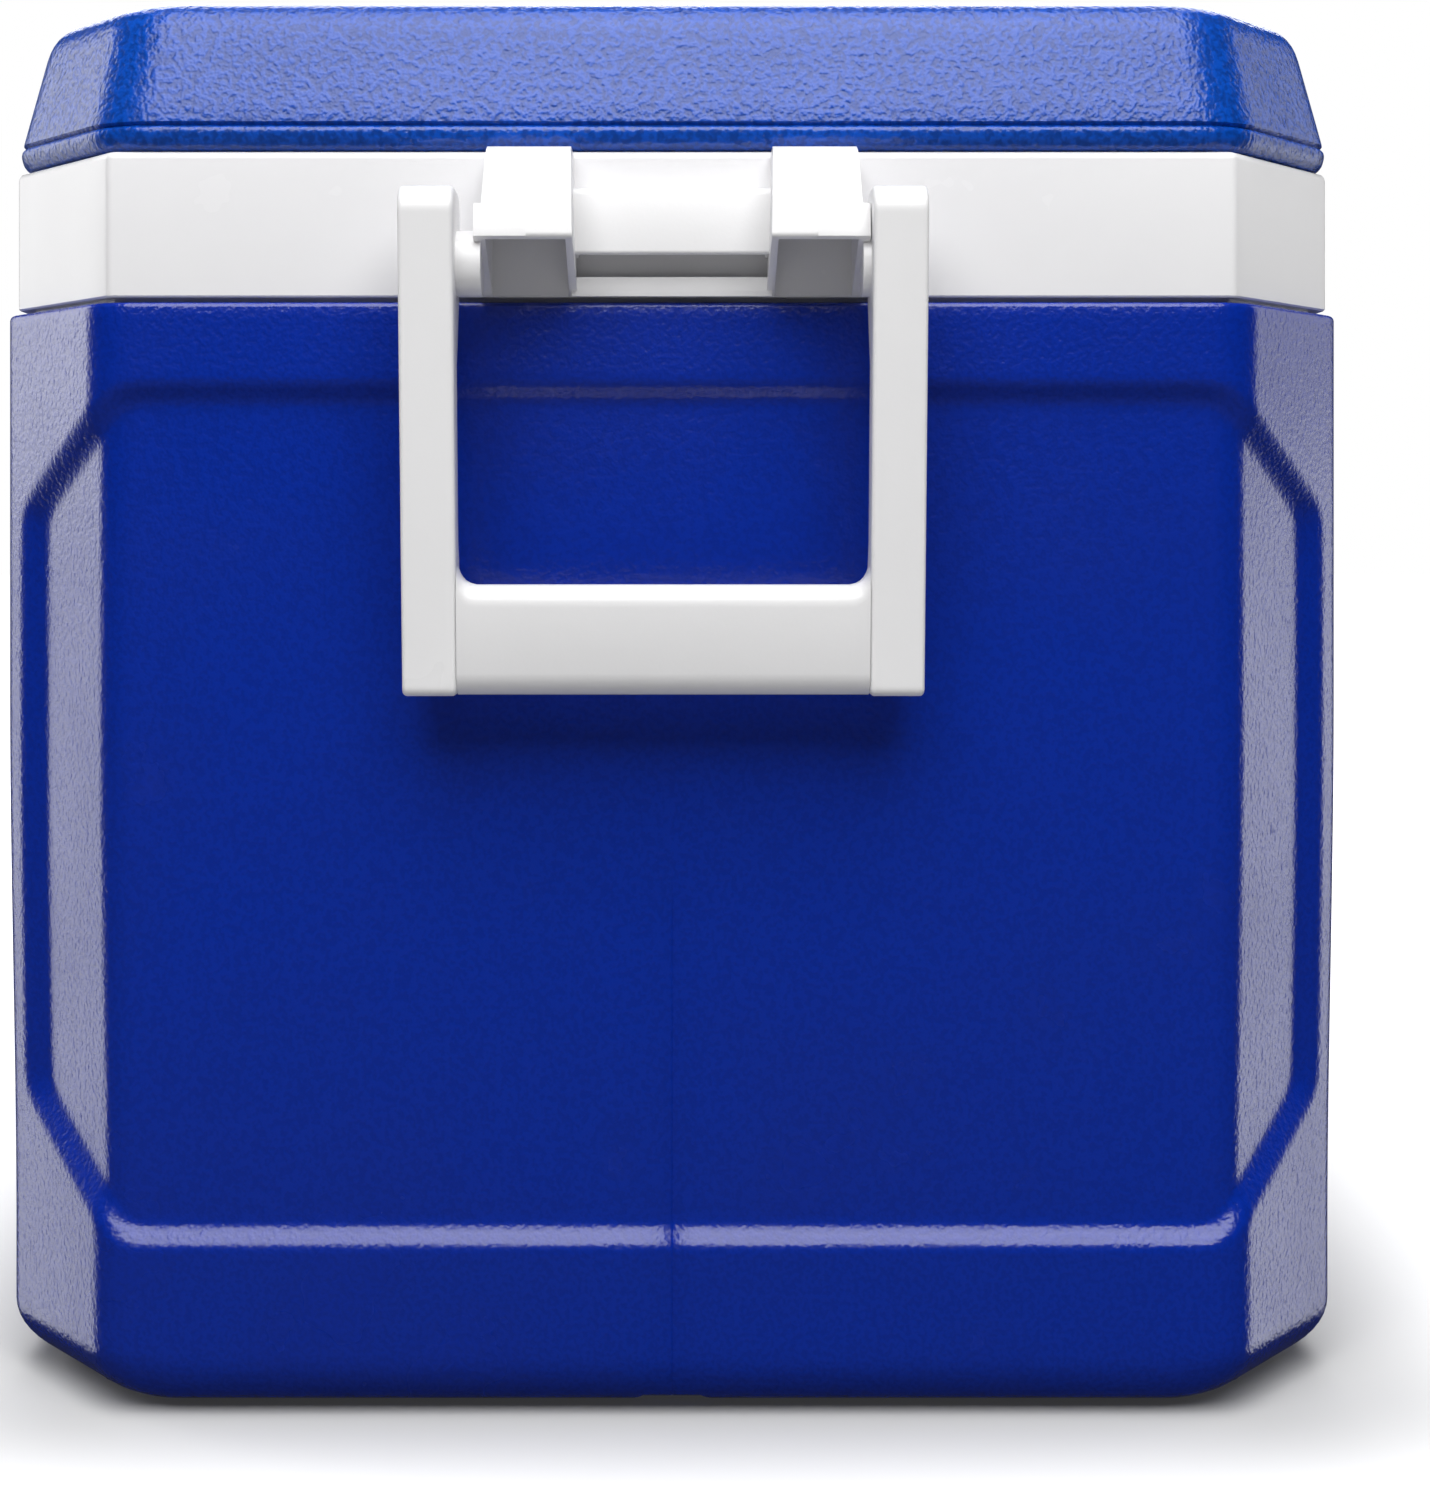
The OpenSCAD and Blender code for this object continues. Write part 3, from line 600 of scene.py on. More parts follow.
def make_outer_shell():
    """The shell as one loft from underneath, over its top edge and down its inside, with foot pads."""
    outline = Outline(body_step, 7, seam=True)
    bands = [(28, 92), (238, 292)]
    rings = []
    for i in range(10):
        a = math.radians(90 - 10 * i)
        height, inset = BASE_R * (1 - math.sin(a)), BASE_R * (1 - math.cos(a))
        rings.append(shell_ring(outline, FOOT_H + height, inset))
    heights = graded(FOOT_H + BASE_R + 4, BODY_TOP - 3, 9.0, bands, 1.7)
    rings += [shell_ring(outline, z, 0.0) for z in heights]
    lip = [(-1.4, 0.0), (-0.8, 0.15), (-0.25, 0.6), (0.0, 1.2), (0.0, SHELL_LIP), (-WALL, SHELL_LIP)]
    rings += [shell_ring(outline, BODY_TOP + up, inset) for up, inset in lip]
    inner_r = SHELL_R - WALL
    rings.append(outline.points(BODY_TOP - WALL, WALL, inner_r))
    inner = graded(FOOT_H + BASE_R, BODY_TOP - WALL - 1, 18.0, bands, 3.6)
    rings += [shell_ring(outline, z, 0.0, WALL) for z in reversed(inner)]
    for i in range(6):
        a = math.radians(18 * i)
        r = BASE_R - WALL
        rings.append(outline.points(
            FOOT_H + WALL + r * (1 - math.sin(a)), WALL + r * (1 - math.cos(a)), inner_r
        ))
    shell = loft("outer_shell", rings, blue_shell, caps=True)
    pads = []
    for sx in (-1, 1):
        for sy in (-1, 1):
            outline_2d = [(sx * PAD_X + x, sy * PAD_Y + y) for x, y in rounded(rectangle(36, 28), 8)]
            pad = prism("pad", outline_2d, 0, FOOT_H + WALL / 2, "Z", blue_shell)
            pads.append(round_edges(pad, 0.6, 2))
    ridge = [(-18.5, 3.5), (18.5, 3.5), (10.5, 7.0), (-10.5, 7.0)]
    pads.append(prism("ridge", ridge, 8 - HALF_L, HALF_L - 8, "X", blue_shell))
    groove = [
        (-GROOVE_HALF, -1), (GROOVE_HALF, -1),
        (GROOVE_HALF / 2, FOOT_H + GROOVE_H), (-GROOVE_HALF / 2, FOOT_H + GROOVE_H),
    ]
    cuts = [
        prism("groove", groove, -HALF_L - 1, HALF_L + 1, "X", blue_shell),
        rod("hole", "X", DRAIN_HOLE_R, -HALF_L - 1, 20 - HALF_L, (0, DRAIN_Z), blue_shell),
    ]
    combine(shell, "UNION", *pads)
    combine(shell, "DIFFERENCE", *cuts)
    hand_over(shell, "outer_shell", "chest")


# ---- rim collar ----

TUB_HALF_L, TUB_HALF_W, TUB_R = 264.0, 155.0, 20.0
LINER_FLANGE = 19.8


def wide_step(x, y):
    """The step along the sides of the outlines that need no detail."""
    return 9.0


plain = Outline(wide_step, 6)


def mouth(z, grow):
    """A ring round the tub's mouth, grown by a distance."""
    return plain.onto_rectangle(z, TUB_HALF_L + grow, TUB_HALF_W + grow, TUB_R + grow)


def make_rim_collar():
    """The collar, with the skirt that locates it inside the shell."""
    r = 3.0
    inner_r = 6.0
    foot, top, skirt_z = COLLAR_Z, RIM_Z, BODY_TOP - 10
    path = [
        (foot + 0.5, COLLAR_IN), (top - 2.2, COLLAR_IN), (top - 1.2, COLLAR_IN + 0.25),
        (top - 0.4, COLLAR_IN + 0.9), (top, COLLAR_IN + 2.2),
    ]
    rings = [plain.points(foot, COLLAR_IN + 0.5, r)]
    rings += [plain.points(z, inset, r) for z, inset in path]
    hole = LINER_FLANGE + 0.2
    rings += [mouth(top, hole + 0.5), mouth(top - 0.4, hole), mouth(top - WALL, hole)]
    rings += [
        plain.points(z, inset, inner_r) for z, inset in [
            (top - WALL, COLLAR_IN + WALL), (foot + 3, COLLAR_IN + WALL), (foot + 3, 7.6), (skirt_z, 7.6),
            (skirt_z, 5.6), (foot, 5.6),
        ]
    ]
    hand_over(loft("collar", rings, white_collar, wrap=True), "rim_collar", "chest")


# ---- tub ----

TUB_FLOOR = 38.0
TUB_DRAFT = 7.5
FLOOR_R = 18.0
TUB_SPINE = 90.0  # half length of the line in which the tub's floor closes
SEAT_X = 254.5
SEAT_R = 20.0


def tub_ring(z, grow, inset=0.0, top_grow=0.0):
    """A ring of the tub's drafted wall, grown by a wall's thickness or drawn in by the floor's fillet."""
    lean = TUB_DRAFT * (RIM_Z - z) / (RIM_Z - TUB_FLOOR)
    shift = grow - lean - inset + top_grow
    radius = TUB_R + grow - inset / 2 + top_grow
    return plain.onto_rectangle(z, TUB_HALF_L + shift, TUB_HALF_W + shift, radius)


def make_inner_liner():
    """The tub and its flange, with a flat seat for the drain."""
    steps = range(0, 91, 10)

    def floor(grow, angles):
        out = []
        for a in map(math.radians, angles):
            z = TUB_FLOOR - grow + FLOOR_R * (1 - math.sin(a))
            out.append(tub_ring(z, grow, FLOOR_R * (1 - math.cos(a))))
        return out

    inner = floor(0.0, reversed(steps))
    outer = floor(WALL, steps)
    rings = list(reversed(to_spine(inner[0], TUB_SPINE))) + inner
    rings += [tub_ring(z, 0.0) for z in (120, 190, 260, RIM_Z - 3)]
    rings += [tub_ring(RIM_Z - d, 0.0, 0.0, g) for d, g in ((1.9, 0.25), (0.8, 1.0), (0.0, 2.6))]
    flange = ((0.0, LINER_FLANGE - 0.5), (0.4, LINER_FLANGE), (WALL, LINER_FLANGE))
    rings += [mouth(RIM_Z - down, grow) for down, grow in flange]
    rings += [tub_ring(z, WALL) for z in (RIM_Z - WALL, 260, 190, 120)]
    rings += outer
    rings += to_spine(outer[-1], TUB_SPINE)
    liner = loft("inner_liner", rings, white_liner)
    seat = rod("seat", "X", SEAT_R, -261, -SEAT_X, (0, DRAIN_Z), white_liner)
    around = rod("around", "X", SEAT_R, -SEAT_X - 0.5, 14 - SEAT_X, (0, DRAIN_Z), white_liner)
    clear = rod("clear", "X", SEAT_R - WALL, -SEAT_X, 20 - SEAT_X, (0, DRAIN_Z), white_liner)
    hole = rod("hole", "X", DRAIN_HOLE_R, -270, -240, (0, DRAIN_Z), white_liner)
    tub_rings = [tub_ring(TUB_FLOOR + 0.2, 0.0, FLOOR_R * 0.9)]
    tub_rings += floor(0.0, range(80, -1, -10))
    tub_rings.append(tub_ring(120, 0.0))
    tub = loft("tub", tub_rings, white_liner, caps=True)
    combine(around, "DIFFERENCE", tub)
    combine(liner, "UNION", round_edges(seat, 0.8), around)
    combine(liner, "DIFFERENCE", clear, hole)
    hand_over(liner, "inner_liner", "chest")


# ---- handle mounts ----

BRACKET_IN, BRACKET_OUT, EAR_OUT, BOSS_END = 26.5, 50.7, 52.5, 64.0
BRACKET_WALL = 1.7
PIVOT_X, PIVOT_Z, PIVOT_R = HALF_L + 20.0, 315.5, 8.8
MOUNT_SCREW_Y, MOUNT_SCREW_Z, MOUNT_SCREW_R = 39.0, 338.0, 1.6


def make_handle_mount():
    """Both handle mounts: a hollow double bracket with bosses, a raised pad and a bottom lip."""
    def at(points):
        return [(HALF_L + x, COLLAR_Z + z) for x, z in points]

    back = FACE_X - HALF_L
    bracket = prism("bracket", rounded(
        at([(back, 0), (30, 13.6), (27.6, 22.5), (20.6, 33.4), (16.6, 38), (11.6, 39.8), (back, 39.8)]),
        [0, 1.2, 6.0, 8.0, 5.0, 5.0, 0], 4,
    ), BRACKET_IN, BRACKET_OUT, "Y", white_handle)
    middle = (BRACKET_IN + BRACKET_OUT) / 2

    def draft(x, y, z):
        half = 12.65 - 1.3 * (z - COLLAR_Z) / 39.8
        return x, middle + (y - middle) / (BRACKET_OUT - BRACKET_IN) * 2 * half, z

    move_points(bracket, draft)
    ear_side = at([(back, 0), (30, 13.6), (27.6, 22.5), (back, 22.5)])
    ear = prism("ear", ear_side, middle, EAR_OUT, "Y", white_handle)
    boss = rod("boss", "Y", PIVOT_R, BRACKET_OUT, BOSS_END, (PIVOT_X, PIVOT_Z), white_handle)
    combine(bracket, "UNION", ear, boss)
    hollow = prism("hollow", rounded(
        at([(back - 1, -1), (28.3, 9.6), (28.3, 13.9), (25.9, 22.5), (18.9, 32.5), (15.8, 36.3), (11.6, 38.1),
            (back - 1, 38.1)]),
        [0, 0, 1.0, 5.0, 7.0, 4.0, 4.0, 0], 4,
    ), BRACKET_IN + BRACKET_WALL, BRACKET_OUT - 1.3, "Y", white_handle)
    post = rod("post", "X", 4.0, FACE_X - 2, HALF_L + 26, (MOUNT_SCREW_Y, MOUNT_SCREW_Z), white_handle)
    combine(hollow, "DIFFERENCE", post)
    combine(bracket, "DIFFERENCE", hollow)
    twin = mirrored(bracket, 1)
    pad = prism("pad", rounded(
        at([(back, 10.8), (9.5, 10.8), (8, 29), (back, 29)]), [0, 1.0, 2.0, 0], 4
    ), -BRACKET_IN - 1, BRACKET_IN + 1, "Y", white_handle)
    under_side = at([(back - 1, 9), (7.6, 9), (6.2, 27), (back - 1, 27)])
    under = prism("under", under_side, 1 - BRACKET_IN, BRACKET_IN - 1, "Y", white_handle)
    combine(pad, "DIFFERENCE", under)
    lip_side = at([(back, 0), (2.4, 0), (2.4, 5.2), (back, 5.2)])
    lip = prism("lip", lip_side, -BRACKET_IN - 1, BRACKET_IN + 1, "Y", white_handle)
    mount = combine(bracket, "UNION", twin, pad, lip)
    screws = [(s * MOUNT_SCREW_Y, MOUNT_SCREW_Z) for s in (-1, 1)]
    reach = (FACE_X - 2, FACE_X + 13.5)
    holes = [rod("hole", "X", MOUNT_SCREW_R, *reach, place, white_handle) for place in screws]
    combine(mount, "DIFFERENCE", *holes)
    round_edges(mount, 0.45, 2)
    hand_over(mirrored(mount, 0), "handle_mount_left", "chest")
    hand_over(mount, "handle_mount_right", "chest")


# ---- bails ----

BAIL_SLACK = 2.3
ARM_W = 14.6
ARM_IN = 55.1
RUNNING_GAP = 0.06  # radial clearance of the pivots and of the hinge pins
FOOT_Z, ARM_TOP = 200.0, 335.3
FOOT_OUT, LEAN = 23.4, 0.1
EYE_R = 11.3
GRIP_Z, GRIP_HALF_H, GRIP_HALF_D = 215.0, 14.8, 7.4


def arm_front(z):
    """Where the leaning front of the arms is at a height."""
    return HALF_L + FOOT_OUT + LEAN * (z - FOOT_Z)


GRIP_X = arm_front(GRIP_Z) - GRIP_HALF_D - 0.4


def arm_outline():
    """An arm's side outline: foot, back, eye round the pivot, shoulder and crown."""
    back = [(arm_front(242) - 12, 242), (arm_front(288) - 12, 288)]
    eye = [
        (PIVOT_X + EYE_R * math.cos(math.radians(a)), PIVOT_Z + EYE_R * math.sin(math.radians(a)))
        for a in range(215, 154, -10)
    ]
    shoulder = [(PIVOT_X - 8.6, PIVOT_Z + 16.6)]
    corners = [(arm_front(FOOT_Z), FOOT_Z), (HALF_L + 5.6, FOOT_Z), (HALF_L + 6.8, 226)]
    foot = rounded([*corners, back[0]], [2.5, 4, 6, 0], 5)
    top = corner_arc((PIVOT_X - 5.4, ARM_TOP), (arm_front(ARM_TOP), ARM_TOP), (arm_front(240), 240), 7, 8)
    crown = corner_arc(shoulder[0], (PIVOT_X - 5.4, ARM_TOP), (arm_front(ARM_TOP), ARM_TOP), 4, 5)
    return foot + [back[1]] + eye + shoulder + [tuple(p) for p, _ in crown] + [tuple(p) for p, _ in top]


def grip_ring(y, flare, inset=0.0):
    """The grip's section at a place along it; flare lifts its top and bottom edges into the arms."""
    corners = rounded(rectangle(GRIP_HALF_D - inset, GRIP_HALF_H - inset), 6.0 - inset, 6)
    out = []
    for x, z in corners:
        z += flare * smoothstep(4.0, 11.0, z)
        out.append((GRIP_X + x + LEAN * z, y - BAIL_SLACK, GRIP_Z + z))
    return out


def make_bail():
    """Both bails: two arms with blind pivot holes, and the bar between them."""
    arms = []
    for s in (-1, 1):
        ends = sorted((s * ARM_IN, s * (ARM_IN + ARM_W)))
        arm = prism("arm", arm_outline(), ends[0] - BAIL_SLACK, ends[1] - BAIL_SLACK, "Y", white_handle)
        round_edges(arm, 1.3, 4)
        ends = sorted((s * (ARM_IN - 2) - BAIL_SLACK, s * (BOSS_END + 0.3 + BAIL_SLACK) - BAIL_SLACK))
        bore = rod("bore", "Y", PIVOT_R + RUNNING_GAP, *ends, (PIVOT_X, PIVOT_Z), white_handle)
        combine(arm, "DIFFERENCE", bore)
        arms.append(arm)
    section = [(GRIP_X + x + LEAN * z, GRIP_Z + z) for x, z in rounded(rectangle(4.4, 11.8), 2.5)]
    core = prism("core", section, -ARM_IN - 1 - BAIL_SLACK, ARM_IN + 1 - BAIL_SLACK, "Y", white_handle)
    bail = combine(arms[0], "UNION", arms[1], core)
    hand_over(mirrored(bail, 0), "bail_left", "bail_left")
    hand_over(bail, "bail_right", "bail_right")


def make_grip():
    """Both grip sleeves, whose ends flare into the arms."""
    end = ARM_IN - 0.05
    marks = []
    for d, flare in ((0, 5.0), (0.5, 3.5), (1.2, 2.2), (2.2, 1.1), (3.4, 0.4), (5.0, 0.0)):
        marks.append((end - d, flare))
    marks += [(y, 0.0) for y in (30, 10)]
    spots = marks + [(-y, flare) for y, flare in reversed(marks)]
    skin = [grip_ring(y, flare) for y, flare in spots]
    section = rounded(rectangle(4.45, 11.85), 2.5, 6)
    bore = [[(GRIP_X + x + LEAN * z, y - BAIL_SLACK, GRIP_Z + z) for x, z in section] for y in (-end, end)]
    grip = loft("grip", skin + bore, white_handle, wrap=True)
    hand_over(mirrored(grip, 0), "grip_left", "bail_left")
    hand_over(grip, "grip_right", "bail_right")


# ---- hinges ----

HINGE_X, HINGE_HALF, PIN_R = 170.0, 30.0, 2.0
REAR_Y = HALF_W - COLLAR_IN
HINGE_Y, HINGE_Z = REAR_Y + 6.9, RIM_Z + 1.3
KNUCKLE_R, KNUCKLE_HALF, KNUCKLE_GAP = 4.6, 10.0, 0.4
LEAF_T, LEAF_L = 2.7, 24.0
SCREW_X, SCREW_R = 20.0, 2.1
LEAF_Z = RIM_Z + 8.1
LID_WALL_Y = HALF_W - LID_IN + LID_SLACK
WALL_LEAN = math.atan(7.0 / 27.4)


def make_hinge_base(side, x0):
    """A hinge's leaf on the collar, with two knuckles."""
    face = REAR_Y + 0.05
    foot, top = RIM_Z - 29, RIM_Z - 5
    plate = [(face, foot), (face + LEAF_T, foot), (face + LEAF_T, top), (face, top)]
    leaf = prism("hinge_base_" + side, plate, x0 - HINGE_HALF, x0 + HINGE_HALF, "X", white_hinge)
    parts = []
    for s in (-1, 1):
        ends = sorted((s * (KNUCKLE_HALF + KNUCKLE_GAP), s * HINGE_HALF))
        ends = [x0 + e for e in ends]
        parts.append(rod("knuckle", "X", KNUCKLE_R, *ends, (HINGE_Y, HINGE_Z), white_hinge, 40))
        parts.append(prism("arm", [
            (face, RIM_Z - 12), (face + LEAF_T, RIM_Z - 12), (HINGE_Y + 4.1, HINGE_Z - 2), (HINGE_Y, HINGE_Z),
            (HINGE_Y - 4.2, HINGE_Z - 0.6), (face, top),
        ], *ends, "X", white_hinge))
    combine(leaf, "UNION", *parts)
    cuts = [rod("pin", "X", PIN_R, x0 - 40, x0 + 40, (HINGE_Y, HINGE_Z), white_hinge, 32)]
    for s in (-1, 1):
        place = (x0 + s * SCREW_X, RIM_Z - 18)
        cuts.append(rod("screw", "Y", SCREW_R, REAR_Y - 2, REAR_Y + 9, place, white_hinge, 32))
    combine(leaf, "DIFFERENCE", *cuts)
    hand_over(round_edges(leaf, 0.4, 2), "hinge_base_" + side, "chest")


def make_hinge_leaf(side, x0):
    """A hinge's leaf on the lid's leaning wall, with the middle knuckle."""
    def on_lid_wall(out, up):
        """A place counted out of the lid's leaning rear wall and up along it."""
        return (
            LID_WALL_Y - 0.05 + out * math.cos(WALL_LEAN) - up * math.sin(WALL_LEAN),
            LEAF_Z - 1.4 + out * math.sin(WALL_LEAN) + up * math.cos(WALL_LEAN),
        )

    outer = 0.05 + LEAF_T
    outline = [on_lid_wall(*p) for p in ((0.05, 0), (outer, 0), (outer, LEAF_L), (0.05, LEAF_L))]
    leaf = prism("hinge_leaf_" + side, outline, x0 - HINGE_HALF, x0 + HINGE_HALF, "X", white_hinge)
    ends = (x0 - KNUCKLE_HALF, x0 + KNUCKLE_HALF)
    arm = prism("arm", [
        (HINGE_Y - 3.2, HINGE_Z + 3.3), (HINGE_Y, HINGE_Z), (HINGE_Y + 4.5, HINGE_Z + 0.9),
        (LID_WALL_Y + 2, LEAF_Z + 5), (LID_WALL_Y - 0.1, LEAF_Z + 4), (LID_WALL_Y + 0.9, LEAF_Z - 0.8),
    ], *ends, "X", white_hinge)
    combine(leaf, "UNION", rod("knuckle", "X", KNUCKLE_R, *ends, (HINGE_Y, HINGE_Z), white_hinge, 40), arm)
    cuts = [rod("pin", "X", PIN_R + RUNNING_GAP, x0 - 40, x0 + 40, (HINGE_Y, HINGE_Z), white_hinge, 32)]
    y, z = on_lid_wall(LEAF_T / 2, LEAF_L / 2)
    for s in (-1, 1):
        hole = rod("screw", "Y", SCREW_R, -6, 6, (0, 0), white_hinge, 32)
        place = Vector((x0 + s * SCREW_X, y, z)) * MM
        hole.data.transform(Matrix.Translation(place) @ Matrix.Rotation(WALL_LEAN, 4, "X"))
        cuts.append(hole)
    combine(leaf, "DIFFERENCE", *cuts)
    hand_over(round_edges(leaf, 0.4, 2), "hinge_leaf_" + side, "lid")


# ---- lid ----

LID_R = 24.0
LID_SPINE = 150.0  # half length of the line in which the lid's top closes
LIP_HALF, LIP_REACH, LIP_H = 60.0, 10.5, 4.5
FIELD_X, FIELD_Y, FIELD_R, FIELD_DEPTH = HALF_L - 60.0, HALF_W - 54.0, 24.0, 1.5
LID_PROFILE = [  # (height above the rim, inset) pairs from the rim up
    (0.0, 3.4), (0.35, 2.4), (1.2, 1.35), (2.2, 0.65), (3.2, 0.3), (4.3, 0.05), (5.2, 0.0), (5.9, 0.15),
    (6.4, 0.55), (6.75, 1.2), (6.95, 1.55), (7.3, 1.15), (7.9, 0.6), (8.6, 0.68), (14.0, 2.05), (20.0, 3.6),
    (27.0, 5.4), (33.0, 6.95), (35.6, 7.8), (37.5, 8.7), (39.2, 9.85), (40.6, 11.25), (41.7, 12.85),
    (42.5, 14.7), (43.1, 16.8), (43.4, 18.8), (43.5, 21.0),
]


def make_lid_shell():
    """The lid's shell as one open loft from its inside to the field in its top, with the finger lip."""
    outline = Outline(lambda x, y: 7.0, 8)

    def ring(height, inset, wall=0.0):
        points = outline.points(LID_Z + height, LID_IN + inset + wall, LID_R)
        return [(x, y + LID_SLACK, z) for x, y, z in points]

    def field(grow, height):
        points = outline.onto_rectangle(LID_Z + height, FIELD_X + grow, FIELD_Y + grow, FIELD_R + grow)
        return [(x, y + LID_SLACK, z) for x, y, z in points]

    rings = [ring(h, inset) for h, inset in LID_PROFILE]
    steps = ((2.4, 0.0), (1.4, -0.12), (0.7, -0.45), (0.0, -0.95), (-0.7, -1.32), (-1.6, -FIELD_DEPTH))
    rings += [field(grow, LID_H + down) for grow, down in steps]
    rings += to_spine(rings[-1], LID_SPINE, 6)
    inner = [(h, inset, WALL) for h, inset in reversed(LID_PROFILE) if h < 37]
    top = LID_H - WALL
    cover = [ring(h, inset, WALL) for h, inset in ((top, 19.0), (top - 1.2, 13.5), (top - 3.0, 10.6))]
    under = list(reversed(to_spine(cover[0], LID_SPINE, 6))) + cover + [ring(*step) for step in inner]
    shell = loft("lid_shell", under + rings, blue_lid)
    lip_plan = [(x, y + LID_SLACK - HALF_W) for x, y in rounded(rectangle(LIP_HALF, LIP_REACH), 8, 8)]
    lip = prism("lip", lip_plan, LID_Z, LID_Z + LIP_H, "Z", blue_lid)
    round_edges(lip, 1.1, 4)
    inside = prism("inside", [(p.x, p.y + LID_SLACK) for p, _ in outline.ring(LID_IN + 4.2, 8)],
                   LID_Z - 1, LID_Z + 8, "Z", blue_lid)
    combine(lip, "DIFFERENCE", inside)
    combine(shell, "UNION", lip)
    cuts = []
    for x0 in (-HINGE_X, HINGE_X):
        for s in (-1, 1):
            # on the axis of the leaf's screw, just inside the wall
            hole = rod("screw", "Y", SCREW_R - 0.2, -14, 2, (0, 0), blue_lid, 24)
            place = Vector((x0 + s * SCREW_X, LID_WALL_Y - 3.42, LEAF_Z + 10.1)) * MM
            hole.data.transform(Matrix.Translation(place) @ Matrix.Rotation(WALL_LEAN, 4, "X"))
            cuts.append(hole)
    combine(shell, "DIFFERENCE", *cuts)
    hand_over(shell, "lid_shell", "lid")


def make_lid_liner():
    """The lid's white underside, with the plug that enters the tub."""
    panel_in = LID_IN + 3.2 + WALL + 0.2
    depth = 15.0

    def moved(points):
        return [(x, y + LID_SLACK, z) for x, y, z in points]

    def plug(height, grow):
        return moved(mouth(LID_Z + height, -2.5 - grow))

    under = [
        (-depth, 9.0), (-depth + 0.3, 5.6), (-depth + 1.2, 3.0), (-depth + 2.7, 1.2),
        (-depth + 4.4, 0.4), (-depth + 7, 0.32), (-1.2, 0.0), (-0.3, -0.4), (0.0, -1.4),
    ]
    rings = [plug(h, grow) for h, grow in under]
    rings += [moved(plain.points(LID_Z + h, inset, CORNER_R)) for h, inset in
              ((0.0, panel_in + 0.5), (0.5, panel_in), (WALL, panel_in))]
    rings += [plug(WALL, WALL), plug(-depth + 7, WALL + 0.3), plug(-depth + 4, 5.5), plug(-depth + WALL, 9.0)]
    bottom, cover = to_spine(rings[0], TUB_SPINE, 5), to_spine(rings[-1], TUB_SPINE, 5)
    rings = list(reversed(bottom)) + rings + cover
    hand_over(loft("panel", rings, white_liner), "lid_liner", "lid")


# ---- drain ----

DRAIN_AT = (0.0, DRAIN_Z)
SHELL_X = -HALF_L + PANEL_DEPTH
FLANGE_X = SHELL_X - 1.5


def make_drain():
    """The drain spout, its nut with six lugs, and the ribbed plug with its barbed legs."""
    out = FLANGE_X - 3.0
    inside = -248.2
    spout = [
        (inside, 8.9), (inside, 10.6), (inside - 0.4, 11.0), (FLANGE_X, 11.0), (FLANGE_X, 16.6),
        (FLANGE_X - 0.4, 17.0), (out + 1.0, 17.0), (out + 0.3, 16.7), (out, 16.0), (out, 9.1),
        (out + 0.6, 8.5), (-284.0, 8.5), (-284.0, 7.2), (-281.0, 7.2), (-281.0, 8.5), (inside - 0.4, 8.5),
    ]
    hand_over(lathe("spout", spout, DRAIN_AT, white_hinge, wrap=True), "drain_spout", "chest")

    def lugs(angle, x, radius):
        return 1.7 * smoothstep(0.72, 0.9, math.cos(6 * angle)) if radius > 14 else 0.0

    nut = [(-254.5, 11.0), (-254.5, 14.5), (-249.6, 14.5), (-249.0, 13.9), (-249.0, 11.4), (-249.4, 11.0)]
    nut_piece = lathe("nut", nut, DRAIN_AT, white_hinge, wrap=True, bulge=lugs)
    hand_over(nut_piece, "drain_nut", "chest")

    def ribs(angle, x, radius):
        return 0.6 * smoothstep(-0.2, 0.7, math.cos(12 * angle)) if radius > 12.9 else 0.0

    back = out - 0.3
    front = back - 8.0
    plug = [
        (front + 0.9, 0), (front + 0.9, 6.4), (front + 0.25, 7.6), (front, 8.6), (front, 11.2),
        (front + 0.4, 12.3), (front + 1.3, 13.0), (back - 0.9, 13.0), (back - 0.2, 12.7), (back, 12.0),
        (back, 8.2), (-297.3, 8.2), (-297.3, 5.95), (-294.7, 5.95), (-294.7, 8.2), (-290.4, 8.2),
        (-290.0, 7.8), (-290.0, 0),
    ]
    body = lathe("drain_plug", plug, DRAIN_AT, white_hinge, bulge=ribs, steps=144)
    legs = lathe("legs", [(-291, 0), (-291, 6.8), (-266.5, 6.8), (-266.4, 8.0), (-265.8, 8.0), (-262.9, 6.8),
                          (-262.7, 5.6), (-262.7, 0)], DRAIN_AT, white_hinge)
    cross = prism("cross", [(-2, DRAIN_Z - 10), (2, DRAIN_Z - 10), (2, DRAIN_Z - 2), (10, DRAIN_Z - 2),
                            (10, DRAIN_Z + 2), (2, DRAIN_Z + 2), (2, DRAIN_Z + 10), (-2, DRAIN_Z + 10),
                            (-2, DRAIN_Z + 2), (-10, DRAIN_Z + 2), (-10, DRAIN_Z - 2), (-2, DRAIN_Z - 2)],
                  -292, -260, "X", white_hinge)
    combine(legs, "INTERSECT", cross)
    combine(body, "UNION", legs)
    hand_over(body, "drain_plug", "plug")


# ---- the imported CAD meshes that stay, under better materials ----

def finish_kept_nodes():
    """Better materials on the CAD nodes that are shown as they are."""
    kept = {
        foam: ["body_insulation", "lid_insulation"],
        screw_steel: [
            "handle_screws_right", "handle_screws_left", "hinge_pin_right", "hinge_pin_left",
            "hinge_screws_base", "hinge_screws_lid",
        ],
        rubber_black: ["drain_washer", "plug_seal"],
    }
    for material, names in kept.items():
        for name in names:
            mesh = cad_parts[name].data
            mesh.materials.clear()
            mesh.materials.append(material)


# ---- floor, light and camera ----

FOOTPRINT = (0.275, 0.165, 0.0)  # half sizes of the box round which the floor's painted contact shadow and painted light are drawn
